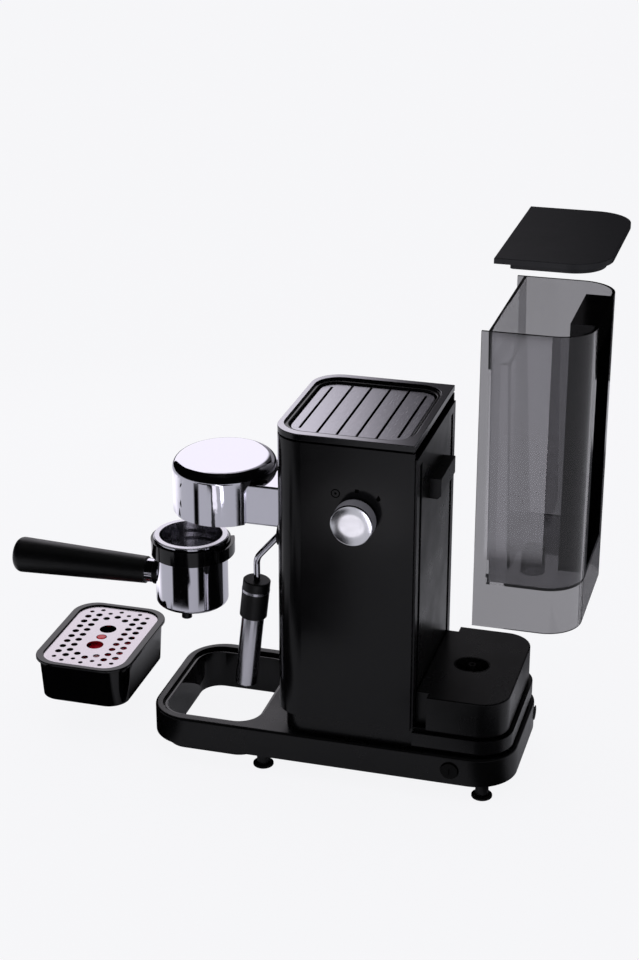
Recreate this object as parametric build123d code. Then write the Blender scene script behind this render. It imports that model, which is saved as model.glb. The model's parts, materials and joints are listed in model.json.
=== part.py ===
from build123d import *
import os
from math import cos, radians, sin

# Slim espresso machine with its water tank, tank lid, portafilter and drip tray taken off
# and held clear of the body. All lengths are in millimetres.
# Origin: on the counter, on the middle plane, midway between the front and rear feet.
# -Y is the side that the user faces, +X is the side with the knob, +Z is up.

# ---------------------------------------------------------------- driving dimensions

# feet
FOOT_HEIGHT = 17.0            # counter to underside of the base
FOOT_STEM_RADIUS = 5.7
FOOT_PAD_RADIUS = 9.0
FOOT_PAD_HEIGHT = 2.4
FOOT_SPAN_X = 116.0
FOOT_SPAN_Y = 195.0
FOOT_RELIEF = 0.8              # free space round a foot's stem

# base
BASE_WIDTH = 148.0
BASE_FRONT = -201.5
BASE_REAR = 123.5
BASE_THICKNESS = 26.0
BASE_CORNER = 36.0
BASE_EDGE = 2.2               # round on the top edge
BASE_WALL = 3.0
BASE_PLATE = 1.6              # steel plate that closes the underside
BASE_PASSAGE = (70.0, 60.0)   # opening in the top wall for hoses and wires
BASE_SOLID_BEHIND_TRAY = 8.0  # the base is solid around the tray and this far behind it

# column
COLUMN_WIDTH = BASE_WIDTH     # the column stands flush with the base
COLUMN_REAR = 37.0
COLUMN_DEPTH = 121.0
COLUMN_CORNER = 26.0          # radius of the two front corners
COLUMN_HEIGHT = 251.5         # painted shell alone
SHELL_WALL = 2.0
BEZEL_GAP = 1.8               # shadow gap under the top frame
BEZEL_THICKNESS = 5.2
BEZEL_OPEN_HALF = 60.0          # half the width left open at the rear of its tongue
BEZEL_RIM_SIDE = 7.25         # flat border around the cup recess
BEZEL_RIM_FRONT = 4.4
BEZEL_RIM_REAR = 5.6
CUP_RECESS_CORNER = 22.0
CUP_RECESS_DEPTH = 2.0        # step inside the border
CUP_STEP_SIDE = 6.45          # width of that step
CUP_STEP_END = 3.5
CUP_STEP_CORNER = 17.0
CUP_LEDGE_WIDTH = 6.0         # ledge that the cup plate stands on
CUP_LEDGE_THICKNESS = 1.5
CUP_PLATE_DROP = 3.8          # cup plate below the top of the frame
CUP_PLATE_THICKNESS = 1.2
CUP_PLATE_SKIRT = 3.4         # height of the edge that is turned down
CUP_PLATE_GAP = 1.6           # gap around the plate
CUP_SLOTS = 6
CUP_SLOT_PITCH = 16.6
CUP_SLOT_WIDTH = 2.4
CUP_SLOT_CORNER = 7.0         # the first and last slot stop this much earlier

# plinth that lifts the column and the tank pedestal off the base
PLINTH_HEIGHT = 19.5
PLINTH_INSET_SIDE = 8.0
PLINTH_INSET_FRONT = 6.0
PLINTH_WALL = 3.0
PLINTH_FLANGE_BOTTOM = 4.6    # above the base
PLINTH_FLANGE_HEIGHT = 12.2
PLINTH_FLANGE_INSET = 2.5

# tank pedestal and valve seat
PEDESTAL_SIDE_GAP = 4.9       # pedestal to the sides of the tank skirt
PEDESTAL_HEIGHT = 31.0
PEDESTAL_REAR_GAP = 3.2       # pedestal to inside of the tank skirt
PEDESTAL_CORNER = 24.0
PEDESTAL_EAR_SLOT = 12.5      # room for the tank's front ears behind the column
PEDESTAL_TONGUE_INSET = 9.5
SEAT_AFTER_COLUMN = 37.4      # middle of the seat behind the column
SEAT_RADIUS = 12.1
SEAT_TRAVEL = 4.8             # the seat is longer than wide, so the cup can come in at a slant
SEAT_DEPTH = 13.0
SEAT_WALL = 1.6
SEAT_FLOOR = 1.6
SPIGOT_RADIUS = 3.4
SPIGOT_BORE = 1.8
SPIGOT_HEIGHT = 13.4
SEAT_TAIL = 14.0              # hose tail under the seat
VALVE_AHEAD_OF_SEAT = 1.2     # tank valve in front of the middle of the seat

# rear panel of the column
PANEL_PROUD = 1.8             # beyond the rear edge of the shell
PANEL_THICKNESS = 5.0
PANEL_INSET = 3.0
PANEL_TOP_DROP = 13.0
PANEL_GROOVE_X = 58.0
PANEL_GROOVE_WIDTH = 8.0
PANEL_GROOVE_DEPTH = 4.0
HOOK_WIDTH = 54.0             # block that the tank's front channel passes over
HOOK_HEIGHT = 18.0
HOOK_REACH = 12.0
HOOK_DROP = 46.0              # top of the block below the column's top

# brew head
HEAD_AHEAD = 63.5             # head axis in front of the column
HEAD_RADIUS_X = 48.5
HEAD_RADIUS_Y = 44.8
HEAD_TOP = 264.5
HEAD_BOTTOM = 218.0
HEAD_WALL = 2.5
HEAD_ROUND = 8.5
HEAD_ROOF = 8.9               # height of the rim left over the arm
HEAD_SWEEP = 9.0              # radius where the wall sweeps up into that rim
HEAD_CUT_BACK = 29.0          # head axis to the rear end of the side walls
ARM_WIDTH = 68.0
ARM_BOTTOM = 217.8
ARM_TOP = 254.0
ARM_WALL = 3.0
ARM_BOLT_RADIUS = 2.5
BREW_RADIUS = 38.0
BREW_BOSS_RADIUS = 10.0
BREW_BOTTOM = 229.5
BREW_TOP = 251.0
LOCK_RING_INNER = 39.4
LOCK_RING_BOTTOM = 219.0
LOCK_GROOVE_HALF = 16.0         # half the length of the slot for a lug
GASKET_INNER = 27.6
GASKET_OUTER = 34.5
GASKET_BOTTOM = 223.2
SHOWER_RADIUS = 25.5
SHOWER_THICKNESS = 1.2
SHOWER_HOLE_RADIUS = 0.8
DISPERSER_THICKNESS = 3.6
HEAD_PAD_WIDTH = 46.6         # black pad between the arm and the cap's rim
HEAD_PAD_REAR = 45.3          # behind the head axis

# portafilter
BASKET_RADIUS = 27.5          # inside, at the rim
BASKET_WALL = 1.0
BASKET_RIM_RADIUS = 32.6
BASKET_DEPTH = 25.0
BASKET_STEP = 1.6             # each of the two steps down to the floor
BASKET_RIBS = 3
PF_RIM_HEIGHT = 3.2           # chrome rim above the black collar
PF_COLLAR_HEIGHT = 14.0
PF_COLLAR_RADIUS = 34.9
PF_COLLAR_STEP = 0.6          # the collar is a little larger beside the handle
PF_LUG_REACH = 3.6
PF_LUG_HEIGHT = 11.0
PF_LUG_SPANS = ((58.0, 118.0), (196.0, 236.0))
PF_BOWL_RADIUS = 32.0
PF_BOWL_WALL = 2.2
PF_BOWL_HEIGHT = 47.0         # below the collar
PF_BOWL_ROUND = 3.6
SPOUT_RADIUS = 4.6
SPOUT_BORE = 2.8
SPOUT_LENGTH = 18.0
SPOUT_AHEAD = 5.8
HANDLE_DROP = 40.5            # handle axis below the basket rim
NECK_RADIUS = 11.6
NECK_LENGTH = 2.8
FERRULE_RADIUS = 10.6
FERRULE_LENGTH = 6.9
HANDLE_LENGTH = 126.0
HANDLE_NECK_RADIUS = 12.1
HANDLE_END_RADIUS = 16.0
HANDLE_ROUND = 7.0
HANDLE_STUD = 40.0            # threaded stud inside the handle
HANDLE_STUD_RADIUS = 4.0

# steam wand
WAND_FROM_SIDE = 28.0         # wand to the side of the column
WAND_PIVOT_Z = 222.8
WAND_PIVOT_IN = 4.0           # pivot behind the front of the column
WAND_PIPE_RADIUS = 2.8
WAND_PIPE_BORE = 1.7
WAND_SOCKET_RADIUS = 12.6
WAND_SOCKET_DROP = 3.6        # socket axis below the pivot
WAND_SOCKET_DEPTH = 11.0
WAND_MOUTH_RADIUS = 9.0
WAND_BALL_RADIUS = 5.4
WAND_BALL_CLEARANCE = 0.3
WAND_PIN_RADIUS = 1.6         # upright pivot on top of the ball
WAND_PIN_REACH = 2.2
WAND_PIN_CLEARANCE = 0.1
WAND_BEND = 14.0              # bend radius of the pipe
WAND_ELBOW_AHEAD = 21.0       # front of the column to the vertical stretch
WAND_ELBOW_DROP = 29.4        # below the pivot
WAND_LEAN = 6.4               # degrees, foot forward
WAND_GRIP_TOP = 173.0
WAND_GRIP_RADIUS = 11.8
WAND_GRIP_LENGTH = 34.6
WAND_RING_FROM_TOP = 8.4
WAND_RING_HEIGHT = 2.4
WAND_SLEEVE_RADIUS = 9.7
WAND_SLEEVE_LENGTH = 64.9
WAND_NOZZLE_LENGTH = 4.0

# knob on the side
KNOB_Y = -11.0
KNOB_Z = 252.9
KNOB_RADIUS = 17.9
KNOB_DEPTH = 14.0
KNOB_SKIRT_RADIUS = 15.0
KNOB_SKIRT_DEPTH = 1.4
KNOB_GAP = 0.6                # skirt to the side of the column
KNOB_SHAFT_RADIUS = 3.0
KNOB_SHAFT_REACH = 14.0       # shaft inside the shell
SHAFT_CLEARANCE = 0.35
SWITCH_SIZE = (22.0, 26.0, 26.0)

# power button on the side of the base
BUTTON_Y = 72.0
BUTTON_RADIUS = 7.6
BUTTON_PROUD = 1.6
BUTTON_TRAVEL = 1.5
BUTTON_CLEARANCE = 0.4
BUTTON_LENGTH = 9.0
BUTTON_SWITCH = (12.0, 16.0, 14.0)

# drip tray
TRAY_SIDE_MARGIN = 10.0       # tray to the side of the base
TRAY_LENGTH = 90.0
TRAY_CORNER = 23.0
TRAY_FLANGE_SIDE = 4.6        # rim beyond the body
TRAY_FLANGE_END = 2.4
TRAY_BODY_CORNER = 20.0
TRAY_FLANGE_HEIGHT = 2.4
TRAY_HEIGHT = 39.2
TRAY_WALL = 2.2
TRAY_FLOOR = 2.0
TRAY_SEAT = 1.8               # ledge that the grid lies on
TRAY_DRAFT = 3.6              # degrees
GRID_RIM_SIDE = 4.9           # rim left beside the steel grid
GRID_RIM_END = 6.2            # and at its front and rear
GRID_CORNER = 19.0
GRID_DROP = 1.4
GRID_THICKNESS = 1.2
GRID_CLEARANCE = 0.5
GRID_PITCH_X = 10.25
GRID_PITCH_Y = 9.1
GRID_HOLE_RADIUS = 3.1
GRID_EDGE_HOLE_RADIUS = 2.1
GRID_BIG_RADIUS = 7.7
GRID_BIG_X = 16.2
FLOAT_PIN_RADIUS = 4.2
FLOAT_HOLE_CLEARANCE = 0.7
FLOAT_BODY = (38.0, 34.0, 5.0)
FLOAT_BODY_OFFSET = (11.0, 9.0)   # middle of the body from the pin
FLOAT_PROUD = 0.4             # pin above the grid
FLOAT_RISE = 4.0

# tray well in the base
WELL_CLEARANCE = 1.9          # around the tray's rim
WELL_BODY_CLEARANCE = 0.7     # around the tray's body
WELL_LEDGE_DROP = 2.8         # ledge below the base's top
WELL_LIP = 2.2
WELL_GROOVE = 1.2             # depth of the groove outside the lip
WELL_WALL = 1.6
WELL_FOOT = 5.9               # lower edge of the well above the counter

# water tank
TANK_OVERHANG = 2.0           # tank beyond each side of the column
TANK_CORNER = 30.0
TANK_HEIGHT = 252.0
TANK_WALL = 2.6
TANK_FLOOR_ABOVE_SKIRT = 37.6
TANK_EAR = 5.4                # side walls ahead of the front wall at the top
TANK_FRONT_DRAFT = 4.3        # the front wall leans back by this from top to floor
CHANNEL_TOP_WIDTH = 67.0      # channel in the front wall for the column's hook
CHANNEL_FOOT_WIDTH = 86.0
CHANNEL_TOP_DEPTH = 8.2
CHANNEL_FOOT_DEPTH = 12.0
CHANNEL_ABOVE_HOOK = 1.4
TANK_BACK_TO_BASE = 0.8       # tank back inside the base's back
TANK_COLUMN_GAP = 0.6
TANK_SEAT_GAP = 2.5           # skirt to plinth when seated
GRIP_WIDTH = 74.0             # recess in the back wall that the fingers go into
GRIP_DEPTH = 20.0
GRIP_WALL = 2.4
GRIP_FOOT = 6.0               # lower end of the recess above the tank's floor
GRIP_BAR = 22.0               # height of the bar across its mouth
VALVE_CUP_RADIUS = 10.2
VALVE_CUP_WALL = 1.6
VALVE_FLANGE = 1.3            # rim of the cup on the tank's floor
VALVE_CUP_LENGTH = 20.0
VALVE_STEM_RADIUS = 2.4
VALVE_HEAD_RADIUS = 7.2
VALVE_LIFT = 3.0
VALVE_FOOT_RADIUS = 4.6

# tank lid
LID_OVERHANG = 1.2
LID_THICKNESS = 4.6
LID_LIP_HEIGHT = 4.6
LID_LIP_INSET = 1.6           # lip to the inside of the tank wall
LID_LIP_WALL = 2.0

# where the loose pieces are held
TANK_BACK = 50.0
TANK_LIFT = 105.6
LID_BACK = 8.0
LID_LIFT = 54.6
PORTAFILTER_FORWARD = 32.6
PORTAFILTER_DROP = 36.0
TRAY_FORWARD = 121.7
TRAY_LIFT = 30.6

# pieces inside the column
CHASSIS_PLATE = 1.5
CHASSIS_CLEARANCE = 6.0
SHELF_Z = 176.0
BOILER_SIZE = (96.0, 56.0, 34.0)
BOILER_FLANGE = 4.0
PUMP_COIL_RADIUS = 19.0
PUMP_COIL_LENGTH = 44.0
PUMP_END_RADIUS = 8.0
PUMP_LENGTH = 84.0
PUMP_GAP = 2.0                # pump to the upright behind it
PUMP_X = -28.0
PUMP_Z = 92.0
MOUNT_WIDTH = 26.0
MOUNT_LENGTH = 9.0
HOSE_RADIUS = 3.2
HOSE_BORE = 1.9
PIPE_RADIUS = 2.4
PIPE_BORE = 1.4
BOARD_SIZE = (64.0, 1.6, 70.0)
BOARD_STANDOFF = 4.0
BOARD_X = -14.0
BOARD_ABOVE_BOILER = 12.0
BOARD_FOOT_RADIUS = 2.5
BOARD_FOOT_INSET = 5.0
RELAY_SIZE = (20.0, 14.0, 24.0)
RELAY_X = -20.0
RELAY_UP = 10.0               # relay above the foot of the board
PLATE_SCREW_SPAN = (100.0, 120.0)
FEED_HOSE_X = 28.0
FEED_HOSE_BEND = 9.0
BREW_PIPE_RISE = 38.0         # above the middle of the boiler
BREW_PIPE_BEND = 8.0
STEAM_PIPE_X = 34.0
STEAM_PIPE_BEND = 5.0
SCREW_RADIUS = 1.6
SCREW_HEAD_RADIUS = 3.0
SCREW_HEAD_HEIGHT = 1.8
THERMOSTAT_X = -24.0
THERMOSTAT_RADIUS = 8.0
THERMOSTAT_HEIGHT = 7.0

# power cord inlet
GLAND_X = -44.0
GLAND_RADIUS = 6.5
GLAND_BORE = 3.6
GLAND_REACH = 0.5

# ---------------------------------------------------------------- places worked out

base_bottom = FOOT_HEIGHT
base_top = base_bottom + BASE_THICKNESS
plinth_top = base_top + PLINTH_HEIGHT
column_front = COLUMN_REAR - COLUMN_DEPTH
column_side = COLUMN_WIDTH / 2
shell_top = plinth_top + COLUMN_HEIGHT
bezel_bottom = shell_top + BEZEL_GAP
column_top = bezel_bottom + BEZEL_THICKNESS
pedestal_top = plinth_top + PEDESTAL_HEIGHT
head_y = column_front - HEAD_AHEAD
seat_y = COLUMN_REAR + SEAT_AFTER_COLUMN
valve_y = seat_y - VALVE_AHEAD_OF_SEAT
wand_x = column_side - WAND_FROM_SIDE
hook_top = column_top - HOOK_DROP
tray_width = BASE_WIDTH - 2 * TRAY_SIDE_MARGIN
tank_width = COLUMN_WIDTH + 2 * TANK_OVERHANG
pedestal_width = tank_width - 2 * (TANK_WALL + PEDESTAL_SIDE_GAP)

tank_front = COLUMN_REAR + TANK_COLUMN_GAP
tank_rear = BASE_REAR - TANK_BACK_TO_BASE
tank_bottom = plinth_top + TANK_SEAT_GAP
tank_top = tank_bottom + TANK_HEIGHT
tank_floor = tank_bottom + TANK_FLOOR_ABOVE_SKIRT
tank_shift = Pos(0, TANK_BACK, TANK_LIFT)
lid_shift = Pos(0, TANK_BACK + LID_BACK, TANK_LIFT + LID_LIFT)

basket_rim = GASKET_BOTTOM - 0.7
portafilter_shift = Pos(0, -PORTAFILTER_FORWARD, -PORTAFILTER_DROP)
collar_top = basket_rim - PF_RIM_HEIGHT
collar_bottom = collar_top - PF_COLLAR_HEIGHT
bowl_bottom = collar_bottom - PF_BOWL_HEIGHT

tray_top = base_top
tray_y = head_y
tray_shift = Pos(0, -TRAY_FORWARD, TRAY_LIFT)
grid_top = tray_top - GRID_DROP
hollow_front = tray_y + TRAY_LENGTH / 2 + BASE_SOLID_BEHIND_TRAY

seat_floor_z = pedestal_top - SEAT_DEPTH
shelf_front = column_front + 22.0
upright_y = COLUMN_REAR - PANEL_THICKNESS - 3.0
boiler_y = (shelf_front + upright_y) / 2
boiler_bottom = SHELF_Z + CHASSIS_PLATE
boiler_mid = boiler_bottom + BOILER_SIZE[2] / 2
brew_pipe_z = boiler_mid + BREW_PIPE_RISE
pump_y = upright_y - CHASSIS_PLATE - PUMP_GAP - PUMP_LENGTH / 2
button_z = (base_bottom + base_top) / 2

# ---------------------------------------------------------------- helpers


def plan(width, front, rear, front_radius=0.0, rear_radius=0.0):
    """Flat outline, symmetric about the middle plane, with its own front and rear corners."""
    outline = Pos(0, (front + rear) / 2) * Rectangle(width, rear - front)
    if front_radius > 0:
        outline = fillet(outline.vertices().group_by(Axis.Y)[0], front_radius)
    if rear_radius > 0:
        outline = fillet(outline.vertices().group_by(Axis.Y)[-1], rear_radius)
    return outline


def prism(outline, bottom, top, taper=0.0):
    """Upright solid on an outline; with a taper it narrows upwards."""
    return extrude(Pos(0, 0, bottom) * outline, top - bottom, taper=taper)


def hanging(outline, top, bottom, taper=0.0):
    """Upright solid that narrows downwards from its top outline."""
    return extrude(Pos(0, 0, top) * outline, bottom - top, taper=taper)


def box(low, high):
    """Box from its lowest to its highest corner."""
    size = [far - near for near, far in zip(low, high)]
    middle = [(far + near) / 2 for near, far in zip(low, high)]
    return Pos(*middle) * Box(*size)


def disc(x, y, bottom, top, radius, bore=0.0):
    """Upright cylinder or ring."""
    outline = Circle(radius) - Circle(bore) if bore > 0 else Circle(radius)
    return prism(Pos(x, y) * outline, bottom, top)


def bar_x(x_from, x_to, y, z, radius, bore=0.0):
    """Cylinder or ring along X."""
    outline = Circle(radius) - Circle(bore) if bore > 0 else Circle(radius)
    return extrude(Plane(origin=(x_from, y, z), z_dir=(1, 0, 0)) * outline, x_to - x_from)


def bar_y(x, y_from, y_to, z, radius, bore=0.0):
    """Cylinder or ring along Y."""
    outline = Circle(radius) - Circle(bore) if bore > 0 else Circle(radius)
    return extrude(Plane(origin=(x, y_from, z), z_dir=(0, 1, 0)) * outline, y_to - y_from)


def hose(points, radius, bore, bend):
    """Tube along straight runs that are joined by arcs."""
    path = FilletPolyline(*points, radius=bend)
    start = Vector(*points[0])
    section = Plane(origin=start, z_dir=Vector(*points[1]) - start) * (Circle(radius) - Circle(bore))
    return sweep(section, path=path)


def turned(profile, x, y):
    """Solid of revolution about the upright axis through x, y; the profile is (radius, height)."""
    face = make_face(Plane.XZ * Polyline(*profile, close=True))
    return Pos(x, y, 0) * revolve(face, Axis.Z)


def grown(outline, amount):
    """Outline moved outwards, or inwards for a negative amount, with round corners kept."""
    return offset(outline, amount=amount)


# ---------------------------------------------------------------- shared outlines

base_outline = plan(BASE_WIDTH, BASE_FRONT, BASE_REAR, BASE_CORNER, BASE_CORNER)
column_outline = plan(COLUMN_WIDTH, column_front, COLUMN_REAR, COLUMN_CORNER)
column_inside = plan(
    COLUMN_WIDTH - 2 * SHELL_WALL,
    column_front + SHELL_WALL,
    COLUMN_REAR + 1.0,
    COLUMN_CORNER - SHELL_WALL,
)
tray_outline = plan(
    tray_width,
    tray_y - TRAY_LENGTH / 2,
    tray_y + TRAY_LENGTH / 2,
    TRAY_CORNER,
    TRAY_CORNER,
)
tray_body_outline = plan(
    tray_width - 2 * TRAY_FLANGE_SIDE,
    tray_y - TRAY_LENGTH / 2 + TRAY_FLANGE_END,
    tray_y + TRAY_LENGTH / 2 - TRAY_FLANGE_END,
    TRAY_BODY_CORNER,
    TRAY_BODY_CORNER,
)
tank_outline = plan(tank_width, tank_front, tank_rear, 0.0, TANK_CORNER)
head_outline = Pos(0, head_y) * Ellipse(HEAD_RADIUS_X, HEAD_RADIUS_Y)
recess_outline = plan(
    COLUMN_WIDTH - 2 * BEZEL_RIM_SIDE,
    column_front + BEZEL_RIM_FRONT,
    COLUMN_REAR - BEZEL_RIM_REAR,
    CUP_RECESS_CORNER,
    CUP_RECESS_CORNER,
)
pocket_outline = plan(
    COLUMN_WIDTH - 2 * (BEZEL_RIM_SIDE + CUP_STEP_SIDE),
    column_front + BEZEL_RIM_FRONT + CUP_STEP_END,
    COLUMN_REAR - BEZEL_RIM_REAR - CUP_STEP_END,
    CUP_STEP_CORNER,
    CUP_STEP_CORNER,
)

# ---------------------------------------------------------------- base and feet


def foot_places():
    return [
        (sx * FOOT_SPAN_X / 2, sy * FOOT_SPAN_Y / 2)
        for sx in (-1, 1)
        for sy in (-1, 1)
    ]


def base_housing():
    slab = prism(base_outline, base_bottom, base_top)
    slab = fillet(slab.edges().group_by(Axis.Z)[-1], BASE_EDGE)
    slab = slab - prism(grown(tray_outline, WELL_CLEARANCE), base_bottom, base_top)
    inside = prism(grown(base_outline, -BASE_WALL), base_bottom, base_top - BASE_WALL)
    keep_front = box((-BASE_WIDTH, BASE_FRONT, 0), (BASE_WIDTH, hollow_front, base_top))
    slab = slab - (inside - keep_front)
    passage_x, passage_y = BASE_PASSAGE
    middle = (column_front + COLUMN_REAR) / 2
    slab = slab - box(
        (-passage_x / 2, middle - passage_y / 2, base_bottom),
        (passage_x / 2, middle + passage_y / 2, base_top),
    )
    seat_hole = disc(0, seat_y, base_bottom, base_top, SEAT_RADIUS)
    slab = slab - seat_hole
    side = BASE_WIDTH / 2
    slab = slab - bar_x(side - 6, side + 1, BUTTON_Y, button_z, BUTTON_RADIUS + BUTTON_CLEARANCE)
    slab = slab - bar_y(GLAND_X, BASE_REAR - 6, BASE_REAR + 1, button_z, GLAND_RADIUS - 1.2)
    return slab


def base_plate():
    rear_part = box((-BASE_WIDTH, hollow_front, 0), (BASE_WIDTH, BASE_REAR, base_top))
    plate = prism(grown(base_outline, -BASE_WALL - 0.2), base_bottom, base_bottom + BASE_PLATE)
    return plate & (Pos(0, 0.2, 0) * rear_part)


def foot_stems():
    stems = []
    for x, y in foot_places():
        stem = disc(x, y, FOOT_PAD_HEIGHT, FOOT_HEIGHT, FOOT_STEM_RADIUS)
        stems.append(stem)
    return stems


def foot_pads():
    pads = []
    for x, y in foot_places():
        pad = disc(x, y, 0, FOOT_PAD_HEIGHT, FOOT_PAD_RADIUS)
        pad = fillet(pad.edges(), 0.7)
        pads.append(pad)
    return pads


def tray_well():
    ledge = base_top - WELL_LEDGE_DROP
    body_top = tray_top - TRAY_FLANGE_HEIGHT
    inner = grown(tray_body_outline, WELL_BODY_CLEARANCE)
    sleeve = prism(grown(tray_outline, WELL_CLEARANCE), base_bottom, ledge)
    skirt = hanging(grown(inner, WELL_WALL), body_top, WELL_FOOT, TRAY_DRAFT)
    skirt = skirt & prism(grown(tray_outline, WELL_CLEARANCE), WELL_FOOT, base_bottom)
    for x, y in foot_places():
        skirt = skirt - disc(x, y, WELL_FOOT, base_bottom, FOOT_STEM_RADIUS + FOOT_RELIEF)
    bore = hanging(inner, body_top, WELL_FOOT, TRAY_DRAFT)
    groove = grown(tray_outline, WELL_CLEARANCE - 0.8) - grown(inner, WELL_LIP)
    return sleeve + skirt - bore - prism(groove, ledge - WELL_GROOVE, ledge)


# ---------------------------------------------------------------- plinth and tank pedestal


def plinth():
    width = COLUMN_WIDTH - 2 * PLINTH_INSET_SIDE
    front = column_front + PLINTH_INSET_FRONT
    rear = tank_rear - TANK_WALL - PEDESTAL_REAR_GAP - 4.0
    riser = plan(width, front, rear, COLUMN_CORNER - PLINTH_INSET_SIDE, PEDESTAL_CORNER)
    body = prism(riser, base_top, plinth_top)
    band_bottom = base_top + PLINTH_FLANGE_BOTTOM
    band_width = COLUMN_WIDTH - 2 * PLINTH_FLANGE_INSET
    band = plan(band_width, COLUMN_REAR + 1.0, tank_rear - 2.4, 0, PEDESTAL_CORNER + 4.0)
    body = body + prism(band, band_bottom, band_bottom + PLINTH_FLANGE_HEIGHT)
    hollow = plan(
        width - 2 * PLINTH_WALL,
        front + PLINTH_WALL,
        rear - PLINTH_WALL,
        12.0,
        PEDESTAL_CORNER - 4,
    )
    return body - prism(hollow, base_top, plinth_top)


def tank_pedestal():
    rear = tank_rear - TANK_WALL - PEDESTAL_REAR_GAP
    front = COLUMN_REAR + PEDESTAL_EAR_SLOT
    top = prism(plan(pedestal_width, front, rear, 0, PEDESTAL_CORNER), plinth_top, pedestal_top)
    tongue_width = pedestal_width - 2 * PEDESTAL_TONGUE_INSET
    tongue = plan(tongue_width, COLUMN_REAR + PANEL_PROUD, front + 1.0)
    block = top + prism(tongue, plinth_top, pedestal_top)
    block = fillet(block.edges().group_by(Axis.Z)[-1], 1.2)
    hollow = plan(pedestal_width - 8, front + 4, rear - 4, 0, PEDESTAL_CORNER - 4)
    block = block - prism(hollow, plinth_top, pedestal_top - 3.0)
    seat = seat_outline(SEAT_RADIUS + SEAT_WALL)
    block = block + (prism(grown(seat, 3.0), seat_floor_z - SEAT_FLOOR, pedestal_top - 1.3))
    return block - prism(seat, seat_floor_z - SEAT_FLOOR, pedestal_top)


def seat_outline(radius):
    """Slot outline of the valve seat, longer from front to rear."""
    round_front = Pos(0, seat_y - SEAT_TRAVEL / 2) * Circle(radius)
    round_rear = Pos(0, seat_y + SEAT_TRAVEL / 2) * Circle(radius)
    between = Pos(0, seat_y) * Rectangle(2 * radius, SEAT_TRAVEL)
    return round_front + round_rear + between


def valve_seat():
    dish = prism(seat_outline(SEAT_RADIUS + SEAT_WALL), seat_floor_z - SEAT_FLOOR, pedestal_top)
    dish = dish - prism(seat_outline(SEAT_RADIUS), seat_floor_z, pedestal_top)
    spigot_top = seat_floor_z + SPIGOT_HEIGHT
    spigot = disc(0, seat_y, seat_floor_z, spigot_top, SPIGOT_RADIUS)
    tail_bottom = seat_floor_z - SEAT_FLOOR - SEAT_TAIL
    tail = disc(0, seat_y, tail_bottom, seat_floor_z, HOSE_RADIUS + 1.0)
    return dish + spigot + tail - disc(0, seat_y, tail_bottom, spigot_top, SPIGOT_BORE)


# ---------------------------------------------------------------- column


def column_shell():
    outer = prism(column_outline, plinth_top, shell_top)
    shell = outer - prism(column_inside, plinth_top, shell_top)
    shell = shell - bar_x(column_side - 4, column_side + 1, KNOB_Y, KNOB_Z, KNOB_SHAFT_RADIUS + 1.0)
    socket_z = WAND_PIVOT_Z - WAND_SOCKET_DROP
    socket_hole = bar_y(wand_x, column_front - 1, column_front + 4, socket_z, WAND_MOUTH_RADIUS + 1.6)
    arm_hole = box(
        (-ARM_WIDTH / 2 + 8, column_front - 1, ARM_BOTTOM + 8),
        (ARM_WIDTH / 2 - 8, column_front + 4, ARM_TOP - 8),
    )
    return shell - socket_hole - arm_hole


def top_bezel():
    """Frame around the cup plate, with a tongue that drops into the shell."""
    step = column_top - CUP_RECESS_DEPTH
    ledge_top = column_top - CUP_PLATE_DROP - CUP_PLATE_SKIRT
    frame = prism(column_outline, bezel_bottom, column_top)
    frame = fillet(frame.edges().group_by(Axis.Z)[-1], 0.6)
    recess = prism(recess_outline, step, column_top)
    pocket = prism(pocket_outline, ledge_top, column_top)
    frame = frame - recess
    frame = frame + prism(grown(pocket_outline, 1.6), ledge_top - CUP_LEDGE_THICKNESS, step)
    frame = frame - pocket
    frame = frame - prism(grown(pocket_outline, -CUP_LEDGE_WIDTH), 0, column_top)
    step_edges = frame.edges().filter_by_position(Axis.Z, step - 0.01, step + 0.01)
    frame = fillet(inside_edges(step_edges, pocket_outline), 0.7)
    tongue_outer = plan(
        COLUMN_WIDTH - 2 * SHELL_WALL - 0.8,
        column_front + SHELL_WALL + 0.4,
        COLUMN_REAR - PANEL_THICKNESS,
        COLUMN_CORNER - SHELL_WALL,
    )
    tongue = prism(tongue_outer, bezel_bottom - BEZEL_GAP - 6.0, bezel_bottom)
    tongue = tongue - prism(grown(tongue_outer, -2.4), bezel_bottom - BEZEL_GAP - 6.0, bezel_bottom)
    lifted_edge = prism(grown(column_outline, -2.2), shell_top, bezel_bottom)
    lifted_edge = lifted_edge - prism(grown(tongue_outer, -2.4), shell_top, bezel_bottom)
    open_back = box(
        (-BEZEL_OPEN_HALF, COLUMN_REAR - PANEL_THICKNESS - 4, 0),
        (BEZEL_OPEN_HALF, COLUMN_REAR + 5, shell_top),
    )
    return frame + (tongue - open_back) + lifted_edge


def inside_edges(edges, outline):
    """Edges that run along an outline and not outside it."""
    limit = grown(outline, 1.0).bounding_box()
    return [
        edge
        for edge in edges
        if limit.min.X < edge.center().X < limit.max.X and limit.min.Y < edge.center().Y < limit.max.Y
    ]


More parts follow.
